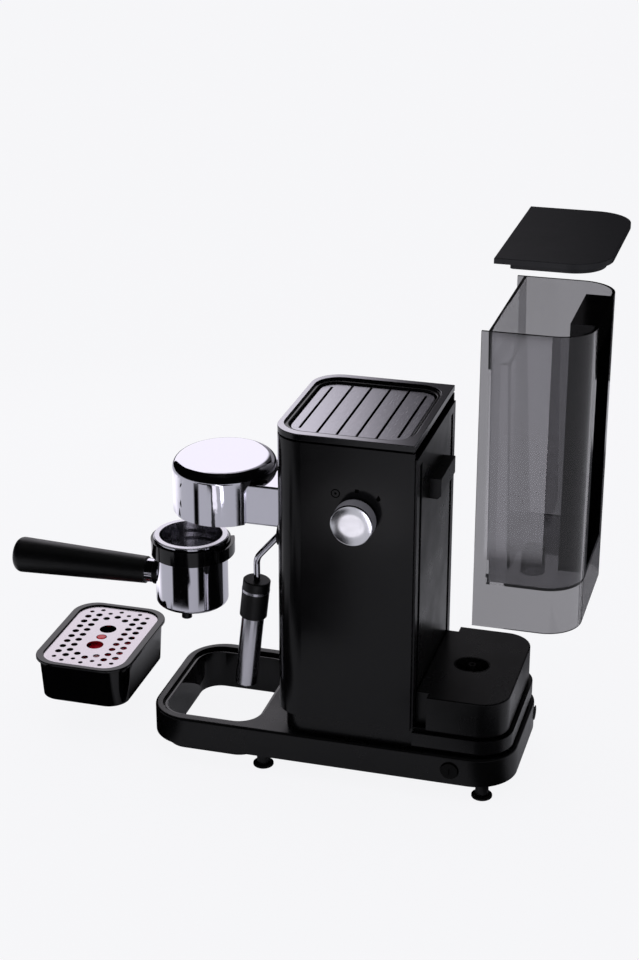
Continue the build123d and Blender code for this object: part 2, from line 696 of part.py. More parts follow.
def cup_plate():
    """Slotted steel plate with its edge turned down onto the frame's ledge."""
    top = column_top - CUP_PLATE_DROP
    outline = grown(pocket_outline, -CUP_PLATE_GAP)
    plate = prism(outline, top - CUP_PLATE_SKIRT, top)
    plate = fillet(plate.edges().group_by(Axis.Z)[-1], 0.8)
    under = prism(grown(outline, -CUP_PLATE_THICKNESS), top - CUP_PLATE_SKIRT, top - CUP_PLATE_THICKNESS)
    plate = plate - under
    limits = outline.bounding_box()
    middle = limits.center().Y
    width = limits.size.X - 2 * CUP_PLATE_THICKNESS
    for index in range(CUP_SLOTS):
        slot_y = middle + (index - (CUP_SLOTS - 1) / 2) * CUP_SLOT_PITCH
        at_corner = index in (0, CUP_SLOTS - 1)
        length = width - (2 * CUP_SLOT_CORNER if at_corner else 0.0)
        slot = Pos(0, slot_y) * SlotOverall(length, CUP_SLOT_WIDTH)
        plate = plate - prism(slot, top - CUP_PLATE_THICKNESS, top)
    return plate


def rear_panel():
    width = COLUMN_WIDTH - 2 * PANEL_INSET
    outer_y = COLUMN_REAR + PANEL_PROUD
    inner_y = COLUMN_REAR - PANEL_THICKNESS
    top = column_top - PANEL_TOP_DROP
    panel = box((-width / 2, inner_y, plinth_top), (width / 2, outer_y, top))
    for side in (-1, 1):
        groove_x = side * PANEL_GROOVE_X
        panel = panel - box(
            (groove_x - PANEL_GROOVE_WIDTH / 2, outer_y - PANEL_GROOVE_DEPTH, plinth_top),
            (groove_x + PANEL_GROOVE_WIDTH / 2, outer_y + 1, top - 8.0),
        )
    return panel


def tank_hook():
    block = box(
        (-HOOK_WIDTH / 2, COLUMN_REAR + PANEL_PROUD, hook_top - HOOK_HEIGHT),
        (HOOK_WIDTH / 2, COLUMN_REAR + HOOK_REACH, hook_top),
    )
    return chamfer(block.edges().filter_by(Axis.X).group_by(Axis.Y)[-1].sort_by(Axis.Z)[0], 3.0)


# ---------------------------------------------------------------- brew head


def head_arm():
    brew = disc(0, head_y, 0, column_top, BREW_RADIUS)
    half = ARM_WIDTH / 2
    wall_end = head_y + HEAD_CUT_BACK
    outer = box((-half, wall_end, ARM_BOTTOM), (half, column_front, ARM_TOP))
    outer = fillet(outer.edges().filter_by(Axis.Y), 1.6)
    narrow = half - 9.0
    neck = box((-narrow, head_y + 12, BREW_BOTTOM), (narrow, wall_end, ARM_TOP))
    wall_slot = Pos(0, head_y) * Ellipse(HEAD_RADIUS_X, HEAD_RADIUS_Y) - head_inside(0.0)
    wall_slot = prism(wall_slot, HEAD_TOP - HEAD_ROOF - HEAD_SWEEP - 1.0, ARM_TOP)
    arm = outer + neck - brew - (wall_slot - cap_opening(0.2))
    hollow = box(
        (-half + 8, wall_end + 10, ARM_BOTTOM + 8),
        (half - 8, column_front, ARM_TOP - 8),
    )
    feed = bar_y(0, head_y, column_front, brew_pipe_z, PIPE_RADIUS + 0.2)
    return arm - hollow - feed


def head_inside(clearance):
    """Plan of the space in the cap, less a clearance all round."""
    less = HEAD_WALL + clearance
    return Pos(0, head_y) * Ellipse(HEAD_RADIUS_X - less, HEAD_RADIUS_Y - less)


def cap_opening(inset):
    """Space cut out of the cap's rear for the arm, swept up under the rim, less an inset."""
    cut = box(
        (-HEAD_RADIUS_X - 1, head_y + HEAD_CUT_BACK + inset, HEAD_BOTTOM - 1),
        (HEAD_RADIUS_X + 1, head_y + HEAD_RADIUS_Y + 1, HEAD_TOP - HEAD_ROOF - inset),
    )
    sweep_edge = cut.edges().filter_by(Axis.X).group_by(Axis.Y)[0].sort_by(Axis.Z)[-1]
    return fillet(sweep_edge, HEAD_SWEEP - inset)


def head_cap():
    outer = prism(head_outline, HEAD_BOTTOM, HEAD_TOP)
    outer = fillet(outer.edges().group_by(Axis.Z)[-1], HEAD_ROUND)
    inner = prism(head_inside(0.0), HEAD_BOTTOM, HEAD_TOP - HEAD_WALL)
    inner = fillet(inner.edges().group_by(Axis.Z)[-1], HEAD_ROUND - HEAD_WALL)
    return outer - inner - cap_opening(0.0)


def brew_group():
    body = disc(0, head_y, BREW_BOTTOM, BREW_TOP, BREW_RADIUS)
    boss = disc(0, head_y, BREW_TOP, HEAD_TOP - HEAD_WALL, BREW_BOSS_RADIUS)
    water_way = bar_y(0, head_y, head_y + BREW_RADIUS, brew_pipe_z, PIPE_BORE)
    down = disc(0, head_y, BREW_BOTTOM, brew_pipe_z, PIPE_BORE)
    return body + boss - water_way - down


def lock_ring():
    ring = prism(head_inside(0.1), LOCK_RING_BOTTOM, BREW_BOTTOM)
    ring = ring - disc(0, head_y, LOCK_RING_BOTTOM, BREW_BOTTOM, LOCK_RING_INNER)
    wall_end = head_y + HEAD_CUT_BACK
    behind = box(
        (-HEAD_RADIUS_X, wall_end - 0.3, 0),
        (HEAD_RADIUS_X, head_y + HEAD_RADIUS_Y, column_top),
    )
    ring = ring - behind
    for side in (-1, 1):
        groove = box(
            (side * (LOCK_RING_INNER + 1.0) - 2.2, head_y - LOCK_GROOVE_HALF, LOCK_RING_BOTTOM + 3.0),
            (side * (LOCK_RING_INNER + 1.0) + 2.2, head_y + LOCK_GROOVE_HALF, BREW_BOTTOM - 2.0),
        )
        ring = ring - groove
    return ring


def group_gasket():
    return disc(0, head_y, GASKET_BOTTOM, BREW_BOTTOM, GASKET_OUTER, GASKET_INNER)


def disperser():
    plate = disc(0, head_y, BREW_BOTTOM - DISPERSER_THICKNESS, BREW_BOTTOM, SHOWER_RADIUS - 1.0)
    return plate - disc(0, head_y, BREW_BOTTOM - DISPERSER_THICKNESS, BREW_BOTTOM, SCREW_RADIUS + 0.05)


def shower_screen():
    top = BREW_BOTTOM - DISPERSER_THICKNESS
    screen = disc(0, head_y, top - SHOWER_THICKNESS, top, SHOWER_RADIUS)
    holes = []
    for ring_index in range(1, 4):
        count = 8 * ring_index
        ring_radius = ring_index * SHOWER_RADIUS / 4
        for step in range(count):
            angle = radians(360 * step / count)
            place = Pos(ring_radius * cos(angle), head_y + ring_radius * sin(angle))
            holes.append(place * Circle(SHOWER_HOLE_RADIUS))
    holes.append(Pos(0, head_y) * Circle(SCREW_RADIUS + 0.05))
    cutters = extrude(Pos(0, 0, top - SHOWER_THICKNESS) * Sketch(holes), SHOWER_THICKNESS)
    return screen - cutters


def screen_screw():
    top = BREW_BOTTOM - DISPERSER_THICKNESS - SHOWER_THICKNESS
    head = disc(0, head_y, top - SCREW_HEAD_HEIGHT, top, SCREW_HEAD_RADIUS)
    shank = disc(0, head_y, top, BREW_BOTTOM, SCREW_RADIUS)
    slot = box(
        (-SCREW_HEAD_RADIUS, head_y - 0.4, top - SCREW_HEAD_HEIGHT),
        (SCREW_HEAD_RADIUS, head_y + 0.4, top - 0.9),
    )
    return head + shank - slot


def head_pad():
    """Black pad on the arm under the rear of the cap's rim."""
    roof = HEAD_TOP - HEAD_ROOF
    front = head_y + HEAD_CUT_BACK + HEAD_SWEEP
    return box((-HEAD_PAD_WIDTH / 2, front, ARM_TOP), (HEAD_PAD_WIDTH / 2, head_y + HEAD_PAD_REAR, roof))


# ---------------------------------------------------------------- portafilter


def basket():
    rim = basket_rim
    floor = rim - BASKET_DEPTH
    outside = [(0, floor - BASKET_WALL), (BASKET_RADIUS - 2 * BASKET_STEP, floor - BASKET_WALL)]
    outside += [(BASKET_RADIUS - 2 * BASKET_STEP + BASKET_WALL, floor)]
    inside = [(BASKET_RADIUS - 2 * BASKET_STEP, floor), (0, floor)]
    step_height = BASKET_DEPTH / (2 * BASKET_RIBS + 1)
    outer_side = []
    inner_side = []
    for level in range(1, 2 * BASKET_RIBS + 1):
        radius = BASKET_RADIUS - (BASKET_STEP if level % 2 else 0.6) * (1.4 - level / (2 * BASKET_RIBS + 1))
        height = floor + level * step_height
        outer_side.append((radius + BASKET_WALL, height))
        inner_side.append((radius, height))
    lip = [
        (BASKET_RADIUS + BASKET_WALL, rim - BASKET_WALL),
        (BASKET_RIM_RADIUS, rim - BASKET_WALL),
        (BASKET_RIM_RADIUS, rim - 0.3),
        (BASKET_RIM_RADIUS - 0.3, rim),
        (BASKET_RADIUS + 0.4, rim),
        (BASKET_RADIUS, rim - 0.6),
    ]
    profile = outside + outer_side + lip + list(reversed(inner_side)) + inside
    return turned(profile, 0, head_y)


def portafilter_bowl():
    outer = disc(0, head_y, bowl_bottom, collar_top, PF_BOWL_RADIUS)
    outer = fillet(outer.edges().group_by(Axis.Z)[0], PF_BOWL_ROUND)
    rim_top = basket_rim - BASKET_WALL
    outer = outer + disc(0, head_y, collar_top, rim_top, BASKET_RIM_RADIUS + 0.4)
    inner_radius = PF_BOWL_RADIUS - PF_BOWL_WALL
    inner = disc(0, head_y, bowl_bottom + PF_BOWL_WALL + 2.0, rim_top, inner_radius)
    inner = fillet(inner.edges().group_by(Axis.Z)[0], PF_BOWL_ROUND - PF_BOWL_WALL)
    drain = disc(0, head_y - SPOUT_AHEAD, bowl_bottom - 1, bowl_bottom + 8, SPOUT_BORE)
    spigot = disc(0, head_y - SPOUT_AHEAD, bowl_bottom - 1, bowl_bottom + 8, SPOUT_RADIUS - 0.6)
    spigot_seat = spigot & disc(0, head_y - SPOUT_AHEAD, bowl_bottom - 1, bowl_bottom + 2, SPOUT_RADIUS)
    z, start, _, ferrule_end = handle_places()
    stud = bar_y(0, ferrule_end - HANDLE_STUD, start + 1.0, z, HANDLE_STUD_RADIUS)
    return outer + stud - inner - drain - spigot_seat


def portafilter_collar():
    ring = disc(0, head_y, collar_bottom, collar_top, PF_COLLAR_RADIUS, PF_BOWL_RADIUS)
    step = sector(-106.0, -34.0, PF_BOWL_RADIUS, PF_COLLAR_RADIUS + PF_COLLAR_STEP)
    ring = ring + prism(step, collar_bottom, collar_top)
    lug_top = collar_top - 2.0
    for start, end in PF_LUG_SPANS:
        lug = sector(start, end, PF_BOWL_RADIUS + 1.0, PF_COLLAR_RADIUS + PF_LUG_REACH)
        ring = ring + prism(lug, lug_top - PF_LUG_HEIGHT, lug_top)
    return ring


def sector(start, end, inner, outer):
    """Plan of part of a ring about the head axis, between two angles from +X in degrees."""
    corners = [(0.0, 0.0)]
    steps = 4
    for step in range(steps + 1):
        angle = radians(start + (end - start) * step / steps)
        corners.append((2 * outer * cos(angle), 2 * outer * sin(angle)))
    wedge = make_face(Polyline(*corners, close=True))
    return Pos(0, head_y) * ((Circle(outer) - Circle(inner)) & wedge)


def spout():
    y = head_y - SPOUT_AHEAD
    tube = disc(0, y, bowl_bottom - SPOUT_LENGTH, bowl_bottom, SPOUT_RADIUS, SPOUT_BORE)
    plug = disc(0, y, bowl_bottom, bowl_bottom + 2.0, SPOUT_RADIUS - 0.6, SPOUT_BORE)
    return tube + plug


def handle_places():
    """Axis height, and where each length of the handle ends, going forward from the bowl."""
    z = basket_rim - HANDLE_DROP
    start = head_y - PF_BOWL_RADIUS
    neck_end = start - NECK_LENGTH
    ferrule_end = neck_end - FERRULE_LENGTH
    return z, start, neck_end, ferrule_end


def handle_neck():
    z, start, neck_end, _ = handle_places()
    bowl = disc(0, head_y, bowl_bottom, collar_top, PF_BOWL_RADIUS)
    neck = bar_y(0, neck_end, start + 6.0, z, NECK_RADIUS) - bowl
    neck = neck - bar_y(0, neck_end - 1, start + 6, z, HANDLE_STUD_RADIUS)
    front_edges = neck.edges().filter_by(GeomType.CIRCLE).group_by(Axis.Y)[0]
    return chamfer(front_edges.sort_by(SortBy.RADIUS)[-1], 0.8)


def handle_ferrule():
    z, _, neck_end, ferrule_end = handle_places()
    return bar_y(0, ferrule_end, neck_end, z, FERRULE_RADIUS, HANDLE_STUD_RADIUS)


def handle():
    z, _, _, ferrule_end = handle_places()
    end = ferrule_end - HANDLE_LENGTH
    profile = [
        (0, ferrule_end),
        (HANDLE_NECK_RADIUS, ferrule_end),
        (HANDLE_END_RADIUS, end + HANDLE_ROUND),
        (HANDLE_END_RADIUS, end),
        (0, end),
    ]
    face = make_face(Plane.XY * Polyline(*profile, close=True))
    grip = revolve(face, Axis.Y)
    grip = fillet(grip.edges().group_by(Axis.Y)[0], HANDLE_ROUND)
    grip = fillet(grip.edges().group_by(Axis.Y)[-1], 1.0)
    grip = Pos(0, 0, z) * grip
    return grip - bar_y(0, ferrule_end - HANDLE_STUD, ferrule_end, z, HANDLE_STUD_RADIUS)


# ---------------------------------------------------------------- steam wand


def wand_axis():
    """Plane at the top of the grip with its normal pointing down the leaning wand."""
    elbow_y = column_front - WAND_ELBOW_AHEAD
    lean = radians(WAND_LEAN)
    return Plane(
        origin=(wand_x, elbow_y, WAND_GRIP_TOP),
        x_dir=(1, 0, 0),
        z_dir=(0, -sin(lean), -cos(lean)),
    )


def along_wand(start, length, radius, bore=0.0):
    outline = Circle(radius) - Circle(bore) if bore > 0 else Circle(radius)
    return extrude(wand_axis().offset(start) * outline, length)


def wand_pivot():
    """Middle of the ball that the wand swings on."""
    return wand_x, column_front + WAND_PIVOT_IN, WAND_PIVOT_Z


def wand_pin(clearance):
    """Upright pivot on top of the ball, or its hole with a clearance."""
    x, y, z = wand_pivot()
    top = z + WAND_BALL_RADIUS + WAND_PIN_REACH
    return disc(x, y, z, top + 5 * clearance, WAND_PIN_RADIUS + clearance)


def wand_socket():
    """Housing behind the column's front wall, with a collar through it, that holds the wand's ball."""
    x, pivot_y, pivot_z = wand_pivot()
    z = pivot_z - WAND_SOCKET_DROP
    wall = column_front + SHELL_WALL
    body = bar_y(x, wall, wall + WAND_SOCKET_DEPTH, z, WAND_SOCKET_RADIUS)
    body = body & prism(column_inside, z - 2 * WAND_SOCKET_RADIUS, z + 2 * WAND_SOCKET_RADIUS)
    collar = bar_y(x, column_front - 0.6, wall, z, WAND_MOUTH_RADIUS + 1.6)
    mouth = bar_y(x, column_front - 0.6, pivot_y, z, WAND_MOUTH_RADIUS)
    hollow = Pos(x, pivot_y, pivot_z) * Sphere(WAND_BALL_RADIUS + WAND_BALL_CLEARANCE)
    way = bar_y(x, pivot_y, wall + WAND_SOCKET_DEPTH, pivot_z, PIPE_BORE)
    return body + collar - mouth - hollow - way - wand_pin(WAND_PIN_CLEARANCE)


def wand_pipe():
    x, pivot_y, pivot_z = wand_pivot()
    pivot = (x, pivot_y, pivot_z)
    elbow_y = column_front - WAND_ELBOW_AHEAD
    elbow = (x, elbow_y, pivot_z - WAND_ELBOW_DROP)
    grip_top = (x, elbow_y, WAND_GRIP_TOP)
    path = FilletPolyline(pivot, elbow, grip_top, radius=WAND_BEND)
    section = Plane(origin=pivot, z_dir=Vector(*elbow) - Vector(*pivot)) * Circle(WAND_PIPE_RADIUS)
    pipe = sweep(section, path=path)
    lower = along_wand(0, WAND_GRIP_LENGTH + WAND_SLEEVE_LENGTH, WAND_PIPE_RADIUS)
    ball = Pos(*pivot) * Sphere(WAND_BALL_RADIUS)
    return ball + wand_pin(0.0) + pipe + lower


def wand_grip():
    body = along_wand(0, WAND_GRIP_LENGTH, WAND_GRIP_RADIUS, WAND_PIPE_RADIUS)
    body = chamfer(body.edges().filter_by(GeomType.CIRCLE).sort_by(SortBy.RADIUS)[-2:], 0.8)
    groove = along_wand(WAND_RING_FROM_TOP, WAND_RING_HEIGHT, WAND_GRIP_RADIUS + 1, WAND_GRIP_RADIUS - 1.4)
    return body - groove


def wand_ring():
    return along_wand(WAND_RING_FROM_TOP, WAND_RING_HEIGHT, WAND_GRIP_RADIUS + 0.25, WAND_GRIP_RADIUS - 1.4)


def wand_sleeve():
    sleeve = along_wand(WAND_GRIP_LENGTH, WAND_SLEEVE_LENGTH, WAND_SLEEVE_RADIUS, WAND_SLEEVE_RADIUS - 0.9)
    cap = along_wand(WAND_GRIP_LENGTH, 2.0, WAND_SLEEVE_RADIUS - 0.5, WAND_PIPE_RADIUS)
    guide_start = WAND_GRIP_LENGTH + WAND_SLEEVE_LENGTH - 6.0
    guide = along_wand(guide_start, 2.0, WAND_SLEEVE_RADIUS - 0.5, WAND_PIPE_RADIUS)
    return sleeve + cap + guide


def wand_nozzle():
    start = WAND_GRIP_LENGTH + WAND_SLEEVE_LENGTH
    return along_wand(start, WAND_NOZZLE_LENGTH, WAND_PIPE_RADIUS + 1.0, 1.0)


# ---------------------------------------------------------------- knob and button


def knob_cap():
    start = column_side + KNOB_GAP + KNOB_SKIRT_DEPTH
    cap = bar_x(start, start + KNOB_DEPTH, KNOB_Y, KNOB_Z, KNOB_RADIUS)
    return fillet(cap.edges().group_by(Axis.X)[-1], 1.0)


def knob_skirt():
    start = column_side + KNOB_GAP
    return bar_x(start, start + KNOB_SKIRT_DEPTH, KNOB_Y, KNOB_Z, KNOB_SKIRT_RADIUS, KNOB_SHAFT_RADIUS)


def knob_shaft():
    inner = column_side - SHELL_WALL - KNOB_SHAFT_REACH
    outer = column_side + KNOB_GAP + KNOB_SKIRT_DEPTH
    return bar_x(inner, outer, KNOB_Y, KNOB_Z, KNOB_SHAFT_RADIUS)


def selector_switch():
    depth, width, height = SWITCH_SIZE
    outer_x = column_side - SHELL_WALL
    body = box(
        (outer_x - depth, KNOB_Y - width / 2, KNOB_Z - height / 2),
        (outer_x, KNOB_Y + width / 2, KNOB_Z + height / 2),
    )
    bore_radius = KNOB_SHAFT_RADIUS + SHAFT_CLEARANCE
    return body - bar_x(outer_x - KNOB_SHAFT_REACH - 0.3, outer_x, KNOB_Y, KNOB_Z, bore_radius)


def power_button():
    outer = BASE_WIDTH / 2 + BUTTON_PROUD
    cap = bar_x(outer - BUTTON_LENGTH, outer, BUTTON_Y, button_z, BUTTON_RADIUS)
    return fillet(cap.edges().group_by(Axis.X)[-1], 0.6)


def power_switch():
    depth, width, height = BUTTON_SWITCH
    face = BASE_WIDTH / 2 + BUTTON_PROUD - BUTTON_LENGTH - BUTTON_TRAVEL - 0.3
    body = box(
        (face - depth, BUTTON_Y - width / 2, button_z - height / 2),
        (face, BUTTON_Y + width / 2, button_z + height / 2),
    )
    bridge = box(
        (face - depth, BUTTON_Y - width / 2, button_z + height / 2),
        (face, BUTTON_Y + width / 2, base_top - BASE_WALL),
    )
    return body + bridge


# ---------------------------------------------------------------- drip tray


def tray_box():
    body_top = tray_top - TRAY_FLANGE_HEIGHT
    rim = prism(tray_outline, body_top, tray_top)
    rim = fillet(rim.edges().group_by(Axis.Z)[-1], 0.8)
    body = hanging(tray_body_outline, body_top, tray_top - TRAY_HEIGHT, TRAY_DRAFT)
    grid_seat = grid_top - GRID_THICKNESS
    inside_outline = grown(tray_body_outline, -TRAY_WALL - TRAY_SEAT)
    inside = hanging(inside_outline, grid_seat, tray_top - TRAY_HEIGHT + TRAY_FLOOR, TRAY_DRAFT)
    return rim + body - inside - prism(grid_outline(0.0), grid_seat, tray_top)


def grid_outline(clearance):
    """Outline of the recess for the steel grid, less a clearance all round."""
    side = GRID_RIM_SIDE + clearance
    end = TRAY_LENGTH / 2 - GRID_RIM_END - clearance
    corner = GRID_CORNER - clearance
    return plan(tray_width - 2 * side, tray_y - end, tray_y + end, corner, corner)


def grid_holes():
    """Centres and radii of the grid's holes: staggered rows, with room left for the float."""
    holes = []
    for row in range(-3, 4):
        odd = row % 2
        for column in range(-5, 6):
            x = (column + (0.5 if odd else 0.0)) * GRID_PITCH_X
            if abs(x) > 5.3 * GRID_PITCH_X:
                continue
            if abs(row) < 2 and abs(x) < 3.2 * GRID_PITCH_X:
                continue
            at_edge = abs(x) > 4.2 * GRID_PITCH_X
            radius = GRID_EDGE_HOLE_RADIUS if at_edge else GRID_HOLE_RADIUS
            holes.append((x, row * GRID_PITCH_Y, radius))
    for side in (-1, 1):
        holes.append((side * GRID_BIG_X, 0.0, GRID_BIG_RADIUS))
    holes.append((0.0, 0.0, FLOAT_PIN_RADIUS + FLOAT_HOLE_CLEARANCE))
    return holes


def tray_grid():
    circles = [Pos(x, tray_y + y) * Circle(radius) for x, y, radius in grid_holes()]
    plate = prism(grid_outline(GRID_CLEARANCE), grid_top - GRID_THICKNESS, grid_top)
    return plate - extrude(Pos(0, 0, grid_top - GRID_THICKNESS) * Sketch(circles), GRID_THICKNESS)


def tray_float():
    """Red float that lies beside its pin and lifts it above the grid."""
    length, width, height = FLOAT_BODY
    offset_x, offset_y = FLOAT_BODY_OFFSET
    body_top = grid_top - GRID_THICKNESS - FLOAT_RISE - 0.5
    body = Pos(offset_x, tray_y + offset_y, body_top - height / 2) * Box(length, width, height)
    body = fillet(body.edges().filter_by(Axis.Z), 3.0)
    pin = disc(0, tray_y, body_top, grid_top + FLOAT_PROUD, FLOAT_PIN_RADIUS)
    pin = fillet(pin.edges().group_by(Axis.Z)[-1], 0.8)
    floor_top = tray_top - TRAY_HEIGHT + TRAY_FLOOR
    post = disc(0, tray_y, floor_top + 0.3, body_top - height, 3.0)
    return body + pin + post


# ---------------------------------------------------------------- water tank and lid


def in_front_of(top_y, foot_y, top, foot):
    """Everything ahead of a face that leans from top_y at the top to foot_y at the foot."""
    ahead = tank_front - 10.0
    side_view = Polyline((ahead, foot), (foot_y, foot), (top_y, top), (ahead, top), close=True)
    face = make_face(Plane.YZ * side_view)
    return extrude(face, tank_width, both=True)


def front_wall_y(z):
    """Outside of the tank's front wall at a height."""
    return tank_front + TANK_EAR + TANK_FRONT_DRAFT * (tank_top - z) / (tank_top - tank_floor)


def front_channel(wall):
    """Space of the channel for the hook, or with a wall thickness the block around it."""
    top = hook_top + CHANNEL_ABOVE_HOOK
    deep = in_front_of(
        front_wall_y(top) + CHANNEL_TOP_DEPTH + wall,
        front_wall_y(tank_floor) + CHANNEL_FOOT_DEPTH + wall,
        top + wall,
        tank_floor,
    )
    top_half = CHANNEL_TOP_WIDTH / 2 + wall
    foot_half = CHANNEL_FOOT_WIDTH / 2 + wall
    front_view = Polyline(
        (-foot_half, tank_floor),
        (foot_half, tank_floor),
        (top_half, top + wall),
        (-top_half, top + wall),
        close=True,
    )
    between = extrude(make_face(Plane.XZ * front_view), 4 * tank_rear, both=True)
    return deep & between


def grip_outline(extra):
    """Plan of the finger recess in the back wall; extra widens it on three sides."""
    return plan(GRIP_WIDTH + 2 * extra, tank_rear - GRIP_DEPTH - extra, tank_rear + 1.0)


def tank_shell():
    body = prism(tank_outline, tank_bottom, tank_top)
    inner_width = tank_width - 2 * TANK_WALL
    inner = plan(inner_width, tank_front - 1, tank_rear - TANK_WALL, 0, TANK_CORNER - TANK_WALL)
    grip_bottom = tank_floor + GRIP_FOOT - GRIP_WALL
    grip_room = prism(grip_outline(GRIP_WALL), grip_bottom, tank_top)
    ahead = in_front_of(front_wall_y(tank_top), front_wall_y(tank_floor), tank_top, tank_floor)
    wall = in_front_of(
        front_wall_y(tank_top) + TANK_WALL,
        front_wall_y(tank_floor) + TANK_WALL,
        tank_top,
        tank_floor,
    )
    water = prism(inner, tank_floor + TANK_WALL, tank_top) - wall - front_channel(TANK_WALL)
    body = body - (water - grip_room) - grip_room
    body = body - (prism(inner, tank_floor, tank_top) & ahead) - front_channel(0.0)
    body = body - prism(inner, tank_bottom, tank_floor)
    return body - disc(0, valve_y, tank_floor, tank_floor + TANK_WALL, VALVE_CUP_RADIUS - VALVE_CUP_WALL)


def tank_grip():
    floor = tank_floor + GRIP_FOOT
    outline = grip_outline(GRIP_WALL) & tank_outline
    body = prism(outline, floor - GRIP_WALL, tank_top)
    body = body - prism(grip_outline(0.0), floor, tank_top - 4.0)
    bar = box(
        (-GRIP_WIDTH / 2, tank_rear - GRIP_WALL, tank_top - GRIP_BAR),
        (GRIP_WIDTH / 2, tank_rear, tank_top),
    )
    return body + bar


def valve_cup():
    top = tank_floor
    bore = VALVE_CUP_RADIUS - VALVE_CUP_WALL
    cup = disc(0, valve_y, top - VALVE_CUP_LENGTH, top, VALVE_CUP_RADIUS, bore)
    floor_top = top + TANK_WALL
    flange = disc(0, valve_y, floor_top, floor_top + 1.0, bore + VALVE_FLANGE, bore - 0.8)
    sleeve = disc(0, valve_y, top - 1.0, floor_top + 1.0, bore, bore - 0.8)
    web = disc(0, valve_y, top - 2.0, top, VALVE_CUP_RADIUS - 1.0, VALVE_STEM_RADIUS + 0.3)
    for step in range(4):
        angle = 45 + 90 * step
        x = 6.0 * cos(radians(angle))
        y = valve_y + 6.0 * sin(radians(angle))
        web = web - disc(x, y, top - 2.0, top, 1.7)
    return cup + sleeve + flange + web


def valve_plunger():
    """Stem that the seat's spigot pushes up, with its sealing head in the tank."""
    floor_top = tank_floor + TANK_WALL
    stem_bottom = seat_floor_z + SPIGOT_HEIGHT + 0.5
    stem = disc(0, valve_y, stem_bottom, floor_top + 1.0, VALVE_STEM_RADIUS)
    head = disc(0, valve_y, floor_top + 0.2, floor_top + 2.2, VALVE_HEAD_RADIUS)
    foot = disc(0, valve_y, stem_bottom, stem_bottom + 1.4, VALVE_FOOT_RADIUS)
    return stem + head + foot


def tank_lid():
    outline = plan(
        tank_width + 2 * LID_OVERHANG,
        tank_front,
        tank_rear + LID_OVERHANG,
        0,
        TANK_CORNER + LID_OVERHANG,
    )
    plate = prism(outline, tank_top, tank_top + LID_THICKNESS)
    plate = fillet(plate.edges().group_by(Axis.Z)[-1], 0.7)
    lip = prism(lid_lip_outline(0), tank_top - LID_LIP_HEIGHT, tank_top)
    lip = lip - prism(lid_lip_outline(LID_LIP_WALL), tank_top - LID_LIP_HEIGHT, tank_top)
    return plate + lip


def lid_lip_outline(inwards):
    """Outline of the lip under the lid: inside the tank's walls and around its grip."""
    less = LID_LIP_INSET + inwards
    inside = plan(
        tank_width - 2 * (TANK_WALL + less),
        tank_front + TANK_EAR + TANK_WALL + less + LID_LIP_INSET,
        tank_rear - TANK_WALL - less,
        3.0,
        TANK_CORNER - TANK_WALL - less,
    )
    return inside - grip_outline(GRIP_WALL + less)


# ---------------------------------------------------------------- inside the column


def chassis():
    half = COLUMN_WIDTH / 2 - SHELL_WALL - CHASSIS_CLEARANCE
    front = column_front + COLUMN_CORNER
    plate = CHASSIS_PLATE
    floor = box((-half, front, plinth_top), (half, upright_y, plinth_top + plate))
    upright = box((-half, upright_y - plate, plinth_top), (half, upright_y, shell_top - 12.0))
    shelf = box((-half, shelf_front, SHELF_Z), (half, upright_y, SHELF_Z + plate))
    frame = floor + upright + shelf
    for side in (-1, 1):
        x = side * (half - plate / 2)
        frame = frame + box(
            (x - plate / 2, shelf_front, plinth_top),
            (x + plate / 2, shelf_front + 14.0, SHELF_Z + plate),
        )
    hose_hole = disc(FEED_HOSE_X, boiler_y + 8.0, plinth_top - 1, plinth_top + 4, 10.0)
    pipe_hole = disc(PUMP_X, shelf_front + 8.0, SHELF_Z - 1, SHELF_Z + 3, 5.0)
    return frame - hose_hole - pipe_hole


def boiler():
    width, depth, height = BOILER_SIZE
    block = box(
        (-width / 2, boiler_y - depth / 2, boiler_bottom),
        (width / 2, boiler_y + depth / 2, boiler_bottom + height),
    )
    block = fillet(block.edges().filter_by(Axis.Z), 8.0)
    seam = boiler_bottom + height / 2
    flange = Pos(0, boiler_y, seam) * Box(width + 2 * BOILER_FLANGE, depth + 2 * BOILER_FLANGE, 3.0)
    flange = fillet(flange.edges().filter_by(Axis.Z), 8.0)
    return block + flange


def thermostat():
    top = boiler_bottom + BOILER_SIZE[2]
    return disc(THERMOSTAT_X, boiler_y, top, top + THERMOSTAT_HEIGHT, THERMOSTAT_RADIUS)


def pump():
    mid = pump_y
    coil = bar_y(PUMP_X, mid - PUMP_COIL_LENGTH / 2, mid + PUMP_COIL_LENGTH / 2, PUMP_Z, PUMP_COIL_RADIUS)
    ends = bar_y(PUMP_X, mid - PUMP_LENGTH / 2, mid + PUMP_LENGTH / 2, PUMP_Z, PUMP_END_RADIUS)
    return coil + ends


def pump_mounts():
    mounts = []
    for side in (-1, 1):
        y = pump_y + side * (PUMP_COIL_LENGTH / 2 - MOUNT_LENGTH)
        block = box(
            (PUMP_X - MOUNT_WIDTH / 2, y - MOUNT_LENGTH / 2, plinth_top + CHASSIS_PLATE),
            (PUMP_X + MOUNT_WIDTH / 2, y + MOUNT_LENGTH / 2, PUMP_Z),
        )
        mounts.append(block - bar_y(PUMP_X, y - MOUNT_LENGTH, y + MOUNT_LENGTH, PUMP_Z, PUMP_COIL_RADIUS))
    return mounts


def feed_hose():
    """From the valve seat, through the plinth, to the pump's rear end."""
    start_z = seat_floor_z - SEAT_FLOOR - SEAT_TAIL
    low = base_top - BASE_WALL - 6.0
    points = [
        (0, seat_y, start_z),
        (0, seat_y, low),
        (FEED_HOSE_X, boiler_y + 8.0, low),
        (FEED_HOSE_X, boiler_y + 8.0, PUMP_Z),
    ]
    return hose(points, HOSE_RADIUS, HOSE_BORE, FEED_HOSE_BEND)


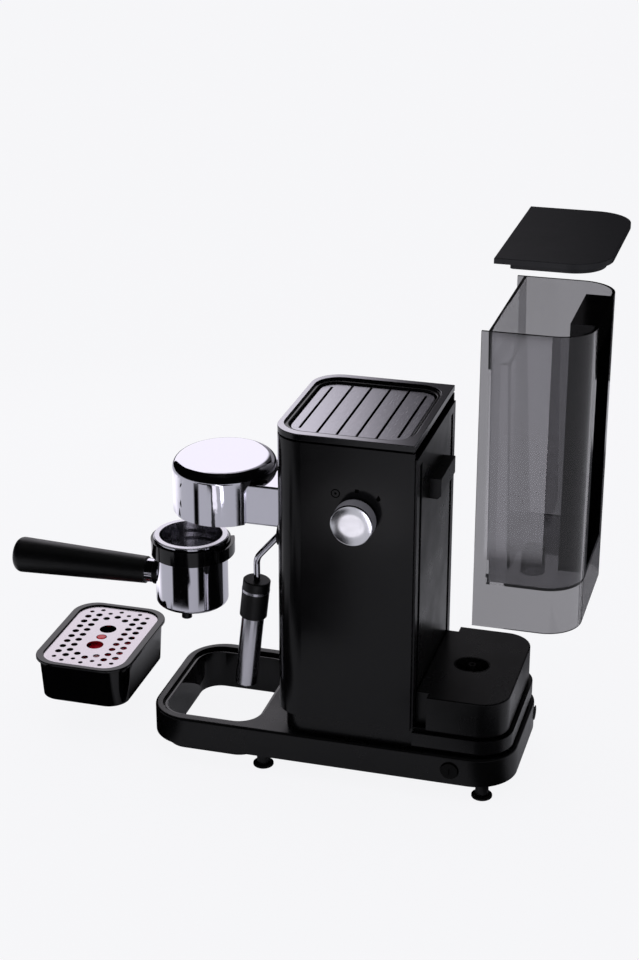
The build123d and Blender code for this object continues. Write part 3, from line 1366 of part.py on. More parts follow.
def brew_pipe():
    """From the boiler to the brew group, through the arm."""
    boiler_face = boiler_bottom + BOILER_SIZE[2]
    points = [
        (0, boiler_y, boiler_face),
        (0, boiler_y, brew_pipe_z),
        (0, head_y + BREW_RADIUS, brew_pipe_z),
    ]
    return hose(points, PIPE_RADIUS, PIPE_BORE, BREW_PIPE_BEND)


def steam_pipe():
    """From the boiler to the steam wand's socket."""
    boiler_face = boiler_bottom + BOILER_SIZE[2]
    inner = column_front + SHELL_WALL + WAND_SOCKET_DEPTH
    points = [
        (STEAM_PIPE_X, boiler_y, boiler_face),
        (STEAM_PIPE_X, boiler_y, WAND_PIVOT_Z + 8.0),
        (wand_x, inner + 14.0, WAND_PIVOT_Z),
        (wand_x, inner, WAND_PIVOT_Z),
    ]
    return hose(points, PIPE_RADIUS, PIPE_BORE, STEAM_PIPE_BEND)


def control_board():
    """Board on four posts, with one relay, on the front of the upright."""
    width, thickness, height = BOARD_SIZE
    upright_face = upright_y - CHASSIS_PLATE
    rear = upright_face - BOARD_STANDOFF
    front = rear - thickness
    bottom = boiler_bottom + BOILER_SIZE[2] + BOARD_ABOVE_BOILER
    board = box(
        (BOARD_X - width / 2, front, bottom),
        (BOARD_X + width / 2, rear, bottom + height),
    )
    for side in (-1, 1):
        for z in (bottom + BOARD_FOOT_INSET, bottom + height - BOARD_FOOT_INSET):
            x = BOARD_X + side * (width / 2 - BOARD_FOOT_INSET)
            board = board + bar_y(x, rear, upright_face, z, BOARD_FOOT_RADIUS)
    relay_width, relay_depth, relay_height = RELAY_SIZE
    relay = box(
        (RELAY_X - relay_width / 2, front - relay_depth, bottom + RELAY_UP),
        (RELAY_X + relay_width / 2, front, bottom + RELAY_UP + relay_height),
    )
    return board + relay


def plate_screws():
    """Screws that hold the base plate to the housing."""
    span_x, span_y = PLATE_SCREW_SPAN
    head_bottom = base_bottom - SCREW_HEAD_HEIGHT
    screws = []
    for side_x in (-1, 1):
        for side_y in (-1, 1):
            x = side_x * span_x / 2
            y = side_y * span_y / 2
            screws.append(disc(x, y, head_bottom, base_bottom, SCREW_HEAD_RADIUS))
    return screws


def cord_gland():
    """Ring that the power cord would leave through."""
    ring = bar_y(GLAND_X, BASE_REAR, BASE_REAR + GLAND_REACH, button_z, GLAND_RADIUS, GLAND_BORE)
    neck_start = BASE_REAR - BASE_WALL - 1.0
    neck = bar_y(GLAND_X, neck_start, BASE_REAR, button_z, GLAND_RADIUS - 1.4, GLAND_BORE)
    return ring + neck


# ---------------------------------------------------------------- assembly

FIXED = {
    "base_housing": base_housing,
    "base_plate": base_plate,
    "plate_screws": plate_screws,
    "foot_stems": foot_stems,
    "foot_pads": foot_pads,
    "tray_well": tray_well,
    "plinth": plinth,
    "tank_pedestal": tank_pedestal,
    "valve_seat": valve_seat,
    "column_shell": column_shell,
    "top_bezel": top_bezel,
    "cup_plate": cup_plate,
    "rear_panel": rear_panel,
    "tank_hook": tank_hook,
    "head_arm": head_arm,
    "head_cap": head_cap,
    "head_pad": head_pad,
    "brew_group": brew_group,
    "lock_ring": lock_ring,
    "group_gasket": group_gasket,
    "disperser": disperser,
    "shower_screen": shower_screen,
    "screen_screw": screen_screw,
    "wand_socket": wand_socket,
    "chassis": chassis,
    "boiler": boiler,
    "thermostat": thermostat,
    "pump": pump,
    "pump_mounts": pump_mounts,
    "feed_hose": feed_hose,
    "brew_pipe": brew_pipe,
    "steam_pipe": steam_pipe,
    "control_board": control_board,
    "selector_switch": selector_switch,
    "power_switch": power_switch,
    "cord_gland": cord_gland,
}
MOVING = {
    "wand_pipe": wand_pipe,
    "wand_grip": wand_grip,
    "wand_ring": wand_ring,
    "wand_sleeve": wand_sleeve,
    "wand_nozzle": wand_nozzle,
    "knob_cap": knob_cap,
    "knob_skirt": knob_skirt,
    "knob_shaft": knob_shaft,
    "power_button": power_button,
}
PORTAFILTER = {
    "basket": basket,
    "portafilter_bowl": portafilter_bowl,
    "portafilter_collar": portafilter_collar,
    "spout": spout,
    "handle_neck": handle_neck,
    "handle_ferrule": handle_ferrule,
    "handle": handle,
}
TRAY = {
    "tray_box": tray_box,
    "tray_grid": tray_grid,
    "tray_float": tray_float,
}
TANK = {
    "tank_shell": tank_shell,
    "tank_grip": tank_grip,
    "valve_cup": valve_cup,
    "valve_plunger": valve_plunger,
}
LID = {"tank_lid": tank_lid}

GROUPS = [
    (FIXED, Pos(0, 0, 0)),
    (MOVING, Pos(0, 0, 0)),
    (PORTAFILTER, portafilter_shift),
    (TRAY, tray_shift),
    (TANK, tank_shift),
    (LID, lid_shift),
]

os.makedirs("parts", exist_ok=True)
for pieces, shift in GROUPS:
    for name, make in pieces.items():
        made = make()
        solids = made if isinstance(made, list) else [made]
        placed = [shift * solid for solid in solids]
        whole = placed[0] if len(placed) == 1 else Compound(children=placed)
        export_step(whole, f"parts/{name}.step")
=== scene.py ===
"""Finishes, small details, light and camera for the espresso machine."""
import json
import math

import bmesh
import bpy
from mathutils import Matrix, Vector

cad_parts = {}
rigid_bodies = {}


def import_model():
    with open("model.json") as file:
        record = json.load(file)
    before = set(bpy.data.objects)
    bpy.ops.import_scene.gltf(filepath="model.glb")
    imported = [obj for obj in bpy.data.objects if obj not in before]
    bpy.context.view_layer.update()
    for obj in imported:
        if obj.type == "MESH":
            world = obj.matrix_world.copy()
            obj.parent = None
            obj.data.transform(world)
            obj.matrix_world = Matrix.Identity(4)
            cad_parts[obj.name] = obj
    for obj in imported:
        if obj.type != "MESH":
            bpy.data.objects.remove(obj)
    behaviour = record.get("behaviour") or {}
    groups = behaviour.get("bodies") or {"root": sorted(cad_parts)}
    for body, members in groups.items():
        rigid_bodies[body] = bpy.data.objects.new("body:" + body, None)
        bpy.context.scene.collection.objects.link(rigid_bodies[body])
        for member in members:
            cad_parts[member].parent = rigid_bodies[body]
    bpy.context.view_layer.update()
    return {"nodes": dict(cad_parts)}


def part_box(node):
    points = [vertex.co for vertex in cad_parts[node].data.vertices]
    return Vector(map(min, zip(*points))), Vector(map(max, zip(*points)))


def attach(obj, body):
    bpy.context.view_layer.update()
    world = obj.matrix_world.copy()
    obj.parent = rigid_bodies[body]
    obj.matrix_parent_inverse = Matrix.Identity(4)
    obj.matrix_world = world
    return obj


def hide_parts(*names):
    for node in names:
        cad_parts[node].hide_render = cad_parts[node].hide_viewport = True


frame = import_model()
nodes = frame["nodes"]

MM = 0.001


# ---------------------------------------------------------------- colours and shader nodes

def srgb(hex_colour):
    """An sRGB hex colour as the linear colour that a shader takes."""
    channels = []
    for start in (1, 3, 5):
        value = int(hex_colour[start:start + 2], 16) / 255
        linear = value / 12.92 if value <= 0.04045 else ((value + 0.055) / 1.055) ** 2.4
        channels.append(linear)
    return (*channels, 1.0)


def add(tree, kind, settings=None, links=None):
    """Adds one node: settings go to its sockets or its own options, links feed its sockets."""
    node = tree.nodes.new(kind)
    for name, value in (settings or {}).items():
        if isinstance(name, int) or name in node.inputs:
            node.inputs[name].default_value = value
        else:
            setattr(node, name, value)
    for name, (source, output) in (links or {}).items():
        tree.links.new(source.outputs[output], node.inputs[name])
    return node


def per_mm(size):
    """The texture scale whose features are this many millimetres across."""
    return 1 / (size * MM)


def finish_of(name, base, roughness, metallic=0.0, **sockets):
    """A material with one Principled shader, its plain values on the shader's own sockets."""
    material = bpy.data.materials.new(name)
    material.use_nodes = True
    tree = material.node_tree
    tree.nodes.clear()
    plain = {"Base Color": srgb(base), "Roughness": roughness, "Metallic": metallic}
    plain.update(sockets)
    shader = add(tree, "ShaderNodeBsdfPrincipled", plain)
    add(tree, "ShaderNodeOutputMaterial", links={"Surface": (shader, "BSDF")})
    place = add(tree, "ShaderNodeTexCoord")
    return material, tree, shader, place


def join(tree, source, output, shader, socket):
    """Feeds one socket of a shader."""
    tree.links.new(source.outputs[output], shader.inputs[socket])


def uneven_gloss(tree, shader, place, size, low, high):
    """Roughness that wanders between two values over patches of this size in mm."""
    cloud = add(tree, "ShaderNodeTexNoise", {"Scale": per_mm(size), "Detail": 3.0},
                {"Vector": (place, "Object")})
    spread = add(tree, "ShaderNodeMapRange",
                 {"From Min": 0.3, "From Max": 0.7, "To Min": low, "To Max": high},
                 {"Value": (cloud, "Fac")})
    join(tree, spread, "Result", shader, "Roughness")


def grained(tree, shader, place, size, depth, strength, edge=0.0):
    """A moulded or sprayed grain, over an edge softened by this radius in mm."""
    grain = add(tree, "ShaderNodeTexNoise", {"Scale": per_mm(size), "Detail": 2.0},
                {"Vector": (place, "Object")})
    bump = add(tree, "ShaderNodeBump", {"Strength": strength, "Distance": depth * MM},
               {"Height": (grain, "Fac")})
    if edge:
        rounding = add(tree, "ShaderNodeBevel", {"samples": 4, "Radius": edge * MM})
        tree.links.new(rounding.outputs["Normal"], bump.inputs["Normal"])
    join(tree, bump, "Normal", shader, "Normal")


def brushed(tree, shader, place, along, line, low, high, depth):
    """Brush lines that run along one axis, each this many mm wide, in gloss and in relief."""
    stretch = [per_mm(line)] * 3
    stretch[along] = per_mm(line * 60)
    drawn = add(tree, "ShaderNodeMapping", {"Scale": stretch}, {"Vector": (place, "Object")})
    lines = add(tree, "ShaderNodeTexNoise", {"Scale": 1.0, "Detail": 4.0}, {"Vector": (drawn, "Vector")})
    spread = add(tree, "ShaderNodeMapRange",
                 {"From Min": 0.3, "From Max": 0.7, "To Min": low, "To Max": high},
                 {"Value": (lines, "Fac")})
    join(tree, spread, "Result", shader, "Roughness")
    bump = add(tree, "ShaderNodeBump", {"Strength": 0.25, "Distance": depth * MM},
               {"Height": (lines, "Fac")})
    join(tree, bump, "Normal", shader, "Normal")


# ---------------------------------------------------------------- finishes

def powder_coated_steel():
    """Sheet steel with a satin black powder coat: near black, a soft wide sheen, faint orange peel."""
    material, tree, shader, place = finish_of(
        "powder_coated_steel", "#060607", 0.17, **{"Specular IOR Level": 0.30})
    uneven_gloss(tree, shader, place, 38, 0.15, 0.20)
    grained(tree, shader, place, 1.6, 0.012, 0.05, edge=0.5)
    return material


def satin_abs():
    """Moulded black ABS with a fine spark-eroded grain: a dull dark sheen and a thin pale edge."""
    material, tree, shader, place = finish_of(
        "satin_abs", "#060607", 0.30, **{"Specular IOR Level": 0.34})
    uneven_gloss(tree, shader, place, 30, 0.25, 0.34)
    grained(tree, shader, place, 0.7, 0.02, 0.06, edge=0.6)
    return material


def soft_touch_nylon():
    """Black glass-filled nylon with a rubbery coat: matt, so light spreads wide along the round handle."""
    material, tree, shader, place = finish_of(
        "soft_touch_nylon", "#060607", 0.38, **{"Specular IOR Level": 0.5})
    uneven_gloss(tree, shader, place, 18, 0.35, 0.42)
    grained(tree, shader, place, 0.6, 0.02, 0.10, edge=0.4)
    return material


def polished_abs():
    """Black ABS from a polished mould: deep black with clear mirror patches."""
    material, tree, shader, place = finish_of(
        "polished_abs", "#030304", 0.08, **{"Specular IOR Level": 0.5})
    uneven_gloss(tree, shader, place, 24, 0.05, 0.11)
    grained(tree, shader, place, 9, 0.04, 0.03, edge=0.5)
    return material


def mirror_chrome():
    """Polished chrome plate over die-cast zinc: a cold mirror with faint polishing haze."""
    material, tree, shader, place = finish_of("mirror_chrome", "#e4e3ec", 0.04, 1.0)
    uneven_gloss(tree, shader, place, 14, 0.025, 0.06)
    grained(tree, shader, place, 22, 0.02, 0.03, edge=0.35)
    return material


def brushed_stainless(name="brushed_stainless", along=0, base="#cfced6"):
    """Stainless sheet brushed one way: silver, with a soft wide glow and hardly visible lines."""
    material, tree, shader, place = finish_of(name, base, 0.24, 1.0)
    brushed(tree, shader, place, along, 0.22, 0.20, 0.28, 0.002)
    return material


def drawn_stainless():
    """Deep-drawn stainless of the filter basket: bright, with faint lines along its height left by the
    drawing tool.
    """
    material, tree, shader, place = finish_of("drawn_stainless", "#d2d1d8", 0.24, 1.0)
    brushed(tree, shader, place, 2, 1.6, 0.21, 0.29, 0.001)
    return material


def cast_aluminium():
    """Sand-blasted die-cast aluminium: pale grey with a coarse dull skin."""
    material, tree, shader, place = finish_of("cast_aluminium", "#a9a8a6", 0.5, 1.0)
    uneven_gloss(tree, shader, place, 8, 0.42, 0.58)
    grained(tree, shader, place, 0.9, 0.08, 0.35)
    return material


def zinc_plated_steel():
    """Zinc-plated pressed steel: grey with a soft spangle of crystal patches."""
    material, tree, shader, place = finish_of("zinc_plated_steel", "#9fa2a6", 0.4, 1.0)
    cells = add(tree, "ShaderNodeTexVoronoi", {"Scale": per_mm(6)}, {"Vector": (place, "Object")})
    spread = add(tree, "ShaderNodeMapRange", {"To Min": 0.3, "To Max": 0.5},
                 {"Value": (cells, "Color")})
    join(tree, spread, "Result", shader, "Roughness")
    return material


def turned_brass():
    """Machined brass: warm yellow with fine turning lines."""
    material, tree, shader, place = finish_of("turned_brass", "#b08d4c", 0.3, 1.0)
    brushed(tree, shader, place, 0, 0.5, 0.22, 0.38, 0.01)
    return material


def moulded_rubber():
    """Moulded black rubber: dead matt with a dusty grain."""
    material, tree, shader, place = finish_of(
        "moulded_rubber", "#0b0b0b", 0.7, **{"Specular IOR Level": 0.3})
    grained(tree, shader, place, 0.5, 0.04, 0.2, edge=0.3)
    return material


def red_abs():
    """Red moulded ABS of the water float: glossy, and a little clouded inside."""
    cloudy = {"Subsurface Weight": 0.12, "Subsurface Radius": (0.003, 0.001, 0.001)}
    material, tree, shader, place = finish_of("red_abs", "#d80f2c", 0.24, **cloudy)
    uneven_gloss(tree, shader, place, 6, 0.18, 0.32)
    return material


def grey_abs():
    """Grey moulded ABS of the hidden switches: dull, with a fine grain."""
    material, tree, shader, place = finish_of("grey_abs", "#6c6d70", 0.5)
    grained(tree, shader, place, 0.7, 0.03, 0.2)
    return material


def silicone_hose(name, base, roughness):
    """Extruded silicone hose: milky, with a waxy sheen that wanders in small patches."""
    material, tree, shader, place = finish_of(name, base, roughness, **{"Subsurface Weight": 0.2})
    uneven_gloss(tree, shader, place, 5, roughness - 0.06, roughness + 0.08)
    return material


def circuit_board():
    """Green solder-masked glass-fibre board: the weave shows as a faint check."""
    material, tree, shader, place = finish_of("circuit_board", "#12502c", 0.35)
    threads = {"Scale": per_mm(1.2), "Color1": srgb("#12502c"), "Color2": srgb("#0f4626")}
    weave = add(tree, "ShaderNodeTexChecker", threads, {"Vector": (place, "Object")})
    join(tree, weave, "Color", shader, "Base Color")
    return material


def polished_stainless():
    """Stainless tube polished along its length: it reflects in long bright and black bands."""
    material, tree, shader, place = finish_of("polished_stainless", "#d8d7de", 0.18, 1.0)
    brushed(tree, shader, place, 2, 0.8, 0.15, 0.22, 0.002)
    return material


def frame_lacquer():
    """Black lacquered frame with a silver trim on its flat border, which ends where the recess begins."""
    material, tree, shader, place = finish_of("lacquered_frame", "#040405", 0.14)
    height = add(tree, "ShaderNodeSeparateXYZ", links={"Vector": (place, "Object")})
    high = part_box("top_bezel")[1]
    border = add(tree, "ShaderNodeMath", {"operation": "GREATER_THAN", 1: high.z - 0.5 * MM},
                 {0: (height, "Z")})
    colour = add(tree, "ShaderNodeMix", {"data_type": "RGBA", 6: srgb("#040405"), 7: srgb("#bdbcc2")},
                 {0: (border, "Value")})
    join(tree, colour, 2, shader, "Base Color")
    join(tree, border, "Value", shader, "Metallic")
    grained(tree, shader, place, 5, 0.01, 0.03, edge=0.4)
    return material


def dotted_nylon():
    """The wand's grip: matt black nylon whose lower part is moulded with rows of fine raised dots."""
    material, tree, shader, place = finish_of(
        "dotted_nylon", "#060607", 0.36, **{"Specular IOR Level": 0.4})
    dots_around = 36.0
    dot_pitch = 2.0
    low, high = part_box("wand_grip")
    middle = (low + high) / 2
    centred = add(tree, "ShaderNodeMapping", {"Location": tuple(-middle)}, {"Vector": (place, "Object")})
    parts = add(tree, "ShaderNodeSeparateXYZ", links={"Vector": (centred, "Vector")})
    around = add(tree, "ShaderNodeMath", {"operation": "ARCTAN2"}, {0: (parts, "Y"), 1: (parts, "X")})
    columns = add(tree, "ShaderNodeMath", {"operation": "MULTIPLY", 1: dots_around},
                  {0: (around, "Value")})
    rows = add(tree, "ShaderNodeMath", {"operation": "MULTIPLY", 1: 2 * math.pi / (dot_pitch * MM)},
               {0: (parts, "Z")})
    wave_a = add(tree, "ShaderNodeMath", {"operation": "SINE"}, {0: (columns, "Value")})
    wave_b = add(tree, "ShaderNodeMath", {"operation": "SINE"}, {0: (rows, "Value")})
    waves = add(tree, "ShaderNodeMath", {"operation": "MULTIPLY"},
                {0: (wave_a, "Value"), 1: (wave_b, "Value")})
    dots = add(tree, "ShaderNodeMapRange", {"From Min": 0.25, "From Max": 0.75},
               {"Value": (waves, "Value")})
    lower = add(tree, "ShaderNodeMath", {"operation": "LESS_THAN", 1: 2.5 * MM}, {0: (parts, "Z")})
    height = add(tree, "ShaderNodeMath", {"operation": "MULTIPLY"},
                 {0: (dots, "Result"), 1: (lower, "Value")})
    bump = add(tree, "ShaderNodeBump", {"Strength": 0.8, "Distance": 0.25 * MM},
               {"Height": (height, "Value")})
    join(tree, bump, "Normal", shader, "Normal")
    return material


def smoke_polycarbonate():
    """Clear polycarbonate tinted smoke grey: each wall takes about half of the light behind it."""
    material, tree, shader, place = finish_of(
        "smoke_polycarbonate", "#8a898c", 0.02, **{"Transmission Weight": 1.0, "IOR": 1.45})
    shade = add(tree, "ShaderNodeTexNoise", {"Scale": per_mm(60), "Detail": 1.0},
                {"Vector": (place, "Object")})
    tint = add(tree, "ShaderNodeMix", {"data_type": "RGBA", 6: srgb("#878689"), 7: srgb("#8d8c90")},
               {0: (shade, "Fac")})
    join(tree, tint, 2, shader, "Base Color")
    return material


def knurled_aluminium():
    """Knurled side of the knob: dull grey aluminium between the bright points."""
    material, tree, shader, place = finish_of("knurled_aluminium", "#8e8d94", 0.5, 0.3)
    uneven_gloss(tree, shader, place, 3, 0.45, 0.58)
    return material


def printed_mark():
    """Matt black ink of the printed marks: it only shows because it shines less than the panel."""
    material, tree, shader, place = finish_of(
        "matt_black_ink", "#010101", 0.7, **{"Specular IOR Level": 0.08})
    uneven_gloss(tree, shader, place, 2, 0.65, 0.8)
    return material


def turned_aluminium_face():
    """The knob's face: aluminium turned so fine that it only reads as a soft pale silver."""
    material, tree, shader, place = finish_of("turned_aluminium_face", "#f2f2f6", 0.14, 1.0)
    uneven_gloss(tree, shader, place, 9, 0.12, 0.17)
    return material


def button_lens():
    """The button's lens: deep black glass-clear plastic with hardly any sheen on its face."""
    material, tree, shader, place = finish_of(
        "button_lens", "#020202", 0.12, **{"Specular IOR Level": 0.12})
    uneven_gloss(tree, shader, place, 6, 0.09, 0.16)
    return material


def lid_abs():
    """The lid: fine-textured dark grey plastic, so it is a little lighter than the lacquered body."""
    material, tree, shader, place = finish_of(
        "textured_lid_abs", "#252528", 0.36, **{"Specular IOR Level": 0.4})
    uneven_gloss(tree, shader, place, 30, 0.32, 0.40)
    return material


SMOKE = smoke_polycarbonate()
CHROME = mirror_chrome()
SATIN = satin_abs()
SOFT = soft_touch_nylon()
GLOSS = polished_abs()
ALONG_X = brushed_stainless()
ALONG_Y = brushed_stainless("brushed_stainless_grid", along=1, base="#d0cacf")
TURNED = turned_aluminium_face()
KNURLED = knurled_aluminium()
INK = printed_mark()

SLOT_FINISH = {
    "painted_steel": powder_coated_steel(),
    "black_plastic": SATIN,
    "soft_black": SOFT,
    "gloss_black": GLOSS,
    "grey_plastic": grey_abs(),
    "red_plastic": red_abs(),
    "smoke_plastic": SMOKE,
    "rubber": moulded_rubber(),
    "chrome": CHROME,
    "brushed_steel": ALONG_X,
    "brushed_aluminium": TURNED,
    "cast_aluminium": cast_aluminium(),
    "plated_steel": zinc_plated_steel(),
    "brass": turned_brass(),
    "clear_hose": silicone_hose("clear_silicone", "#b9bcbd", 0.25),
    "white_hose": silicone_hose("white_fluoropolymer", "#e8e6e0", 0.35),
    "board": circuit_board(),
}
NODE_FINISH = {
    "tray_grid": ALONG_Y,
    "basket": drawn_stainless(),
    "wand_sleeve": polished_stainless(),
    "wand_grip": dotted_nylon(),
    "top_bezel": frame_lacquer(),
    "portafilter_collar": GLOSS,
    "tank_lid": lid_abs(),
    "power_button": button_lens(),
}


def dress_cad_nodes():
    """Gives every CAD node the finish of its slot, or its own."""
    for name, node in nodes.items():
        slot = node.data.materials[0].name.split(".")[0]
        node.data.materials[0] = NODE_FINISH.get(name, SLOT_FINISH[slot])


dress_cad_nodes()


# ---------------------------------------------------------------- details drawn over the CAD pieces

def knurled_knob():
    """The knob's cap with a cross-cut knurl around its side and a turned rim on its face."""
    low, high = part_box("knob_cap")
    middle = (low + high) / 2
    radius = (high.z - low.z) / 2
    depth = high.x - low.x
    teeth = 96
    rows = 11
    first = 2  # the knurl's first ring, after the two of the flat back
    rings = [(0.0, 0.0), (0.0, radius - 0.9 * MM)]
    for row in range(rows + 1):
        rings.append((0.6 * MM + (depth - 2.0 * MM) * row / rows, radius))
    rings += [(depth - 0.7 * MM, radius - 0.1 * MM), (depth - 0.15 * MM, radius - 0.5 * MM),
              (depth, radius - 1.1 * MM), (depth, radius * 0.5), (depth, 0.0)]
    work = bmesh.new()
    loops = []
    for index, (along, reach) in enumerate(rings):
        knurl_row = first <= index <= first + rows
        loop = []
        for step in range(teeth if reach else 1):
            cut = 0.45 * MM if knurl_row and (step + index) % 2 else 0.0
            angle = 2 * math.pi * step / teeth
            loop.append(work.verts.new((low.x + along, middle.y + (reach - cut) * math.cos(angle),
                                        middle.z + (reach - cut) * math.sin(angle))))
        loops.append(loop)
    for index in range(len(loops) - 1):
        inner, outer = loops[index], loops[index + 1]
        smooth = not first <= index < first + rows
        for step in range(teeth):
            after = (step + 1) % teeth
            corners = [inner[step % len(inner)], inner[after % len(inner)],
                       outer[after % len(outer)], outer[step % len(outer)]]
            corners = list(dict.fromkeys(corners))
            face = work.faces.new(corners)
            face.smooth = smooth
            face.material_index = 0 if index >= first + rows else 1
    bmesh.ops.recalc_face_normals(work, faces=work.faces)
    mesh = bpy.data.meshes.new("knob_cap_knurled")
    work.to_mesh(mesh)
    work.free()
    mesh.materials.append(TURNED)
    mesh.materials.append(KNURLED)
    knob = bpy.data.objects.new("knob_cap_knurled", mesh)
    bpy.context.scene.collection.objects.link(knob)
    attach(knob, "knob")
    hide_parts("knob_cap")


def printed(name, outlines, y, z, x, body):
    """Flat ink shapes on a face that looks along +X; an outline inside another is a hole in it."""
    curve = bpy.data.curves.new(name, "CURVE")
    curve.dimensions = "2D"
    curve.fill_mode = "BOTH"
    curve.extrude = 0.03 * MM
    for outline in outlines:
        spline = curve.splines.new("POLY")
        spline.points.add(len(outline) - 1)
        for point, (across, up) in zip(spline.points, outline):
            point.co = (across * MM, up * MM, 0, 1)
        spline.use_cyclic_u = True
    curve.materials.append(INK)
    mark = bpy.data.objects.new(name, curve)
    mark.location = (x, y, z)
    mark.rotation_euler = (math.pi / 2, 0, math.pi / 2)
    bpy.context.scene.collection.objects.link(mark)
    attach(mark, body)


def ring_points(radius, steps=40):
    """Points of a circle around the mark's own middle, in mm."""
    turns = [2 * math.pi * step / steps for step in range(steps)]
    return [(radius * math.cos(turn), radius * math.sin(turn)) for turn in turns]


def knob_marks():
    """Plain marks over the knob: a ring with a dot, a square and a drop."""
    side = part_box("column_shell")[1].x
    face = side + 0.03 * MM
    printed("mark_steam", [ring_points(3.9), ring_points(3.0), ring_points(1.1, 24)],
            -28.5 * MM, 272.9 * MM, face, "machine")
    square = [(-1.6, -1.6), (1.6, -1.6), (1.6, 1.6), (-1.6, 1.6)]
    printed("mark_off", [square], -10.5 * MM, 276.8 * MM, face, "machine")
    drop = [(1.8 * math.cos(angle), 1.8 * math.sin(angle) - 0.6)
            for angle in (math.radians(150 + 240 * step / 20) for step in range(21))]
    drop.append((0.0, 3.0))
    printed("mark_water", [drop], 7.5 * MM, 272.3 * MM, face, "machine")


def button_mark():
    """A plain stroke on the power button."""
    low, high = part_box("power_button")
    middle = (low + high) / 2
    stroke = [(-0.35, -3.2), (0.35, -3.2), (0.35, 3.2), (-0.35, 3.2)]
    printed("mark_power", [stroke], middle.y, middle.z, high.x + 0.02 * MM, "button")


knurled_knob()
knob_marks()
button_mark()


# ---------------------------------------------------------------- floor, light and camera

BACKDROP = "#f8f8fa"
DARK = "#040404"
PATCH_STEPS = 24


def studio_world():
    """A pale surround: the backdrop's colour to the eye, metal and glass, and softer light elsewhere."""
    world = bpy.data.worlds.new("studio")
    bpy.context.scene.world = world
    world.use_nodes = True
    tree = world.node_tree
    tree.nodes.clear()
    path = add(tree, "ShaderNodeLightPath")
    seen = add(tree, "ShaderNodeMath", {"operation": "MAXIMUM"},
               {0: (path, "Is Camera Ray"), 1: (path, "Is Transmission Ray")})
    seen = add(tree, "ShaderNodeMath", {"operation": "MAXIMUM"},
               {0: (seen, "Value"), 1: (path, "Is Glossy Ray")})
    fill = add(tree, "ShaderNodeBackground", {"Color": srgb("#e6e6ea"), "Strength": 0.75})
    shown = add(tree, "ShaderNodeBackground", {"Color": srgb(BACKDROP), "Strength": 1.0})
    mix = add(tree, "ShaderNodeMixShader", links={"Fac": (seen, "Value"), 1: (fill, "Background"),
                                                  2: (shown, "Background")})
    add(tree, "ShaderNodeOutputWorld", links={"Surface": (mix, "Shader")})


def pale_floor():
    """A pale matt floor that keeps a faint shadow."""
    mesh = bpy.data.meshes.new("floor")
    work = bmesh.new()
    bmesh.ops.create_grid(work, x_segments=4, y_segments=4, size=6)
    work.to_mesh(mesh)
    work.free()
    floor = bpy.data.objects.new("floor", mesh)
    floor.location.z = -0.0005
    bpy.context.scene.collection.objects.link(floor)
    material = bpy.data.materials.new("matt_backdrop_paper")
    material.use_nodes = True
    tree = material.node_tree
    tree.nodes.clear()
    path = add(tree, "ShaderNodeLightPath")
    seen = add(tree, "ShaderNodeMath", {"operation": "MAXIMUM"},
               {0: (path, "Is Camera Ray"), 1: (path, "Is Transmission Ray")})
    paper = add(tree, "ShaderNodeBsdfDiffuse", {"Color": srgb("#dedee2")})
    glow = add(tree, "ShaderNodeEmission", {"Color": srgb("#fbfbfd"), "Strength": 1.0})
    shadow = add(tree, "ShaderNodeMixShader", {"Fac": 0.92}, {1: (paper, "BSDF"), 2: (glow, "Emission")})
    mix = add(tree, "ShaderNodeMixShader", links={"Fac": (seen, "Value"), 1: (paper, "BSDF"),
                                                  2: (shadow, "Shader")})
    add(tree, "ShaderNodeOutputMaterial", links={"Surface": (mix, "Shader")})
    mesh.materials.append(material)
    return floor


def aimed(obj, place, target):
    """Puts a lamp, card or camera at a place, looking at a target."""
    obj.location = Vector(place)
    obj.rotation_mode = "QUATERNION"
    obj.rotation_quaternion = (Vector(target) - Vector(place)).to_track_quat("-Z", "Y")
    bpy.context.scene.collection.objects.link(obj)
    return obj


def softbox(name, place, target, width, height, radiance):
    """A rectangular soft lamp whose face has this radiance."""
    lamp = bpy.data.lights.new(name, "AREA")
    lamp.shape = "RECTANGLE"
    lamp.size = width
    lamp.size_y = height
    lamp.energy = radiance * math.pi * width * height
    lamp.color = (0.985, 0.975, 1.0)
    return aimed(bpy.data.objects.new(name, lamp), place, target)


def only_reflected(obj):
    """Makes a studio piece that only reflections see."""
    obj.visible_camera = False
    obj.visible_diffuse = False
    obj.visible_transmission = False
    obj.visible_shadow = False


def glow_material(name, shade, strength=1.0):
    """A material with an even glow, not yet joined to its output."""
    material = bpy.data.materials.new(name)
    material.use_nodes = True
    tree = material.node_tree
    tree.nodes.clear()
    light = add(tree, "ShaderNodeEmission", {"Color": srgb(shade), "Strength": strength})
    return material, tree, light


def sheet_object(name, mesh_name, points, faces):
    """A flat studio piece made of these corners and faces."""
    mesh = bpy.data.meshes.new(mesh_name)
    mesh.from_pydata(points, [], faces)
    return bpy.data.objects.new(name, mesh)


def black_card(name, place, target, width, height):
    """A dark upright or hanging studio card."""
    half_w = width / 2
    half_h = height / 2
    corners = [(-half_w, -half_h, 0), (half_w, -half_h, 0), (half_w, half_h, 0), (-half_w, half_h, 0)]
    card = aimed(sheet_object(name, name, corners, [(0, 1, 2, 3)]), place, target)
    material, tree, light = glow_material(name, DARK)
    add(tree, "ShaderNodeOutputMaterial", links={"Surface": (light, "Emission")})
    card.data.materials.append(material)
    only_reflected(card)


def floor_patch(name, corners, shade, strength=1.0, soft=0.18):
    """A four-cornered piece of floor that reflections see darker or brighter, with soft edges."""
    def spot(u, v):
        near = [corners[0][axis] * (1 - u) + corners[1][axis] * u for axis in (0, 1)]
        far = [corners[3][axis] * (1 - u) + corners[2][axis] * u for axis in (0, 1)]
        return near[0] * (1 - v) + far[0] * v, near[1] * (1 - v) + far[1] * v

    patch_of_floor(name, spot, soft, shade, strength)


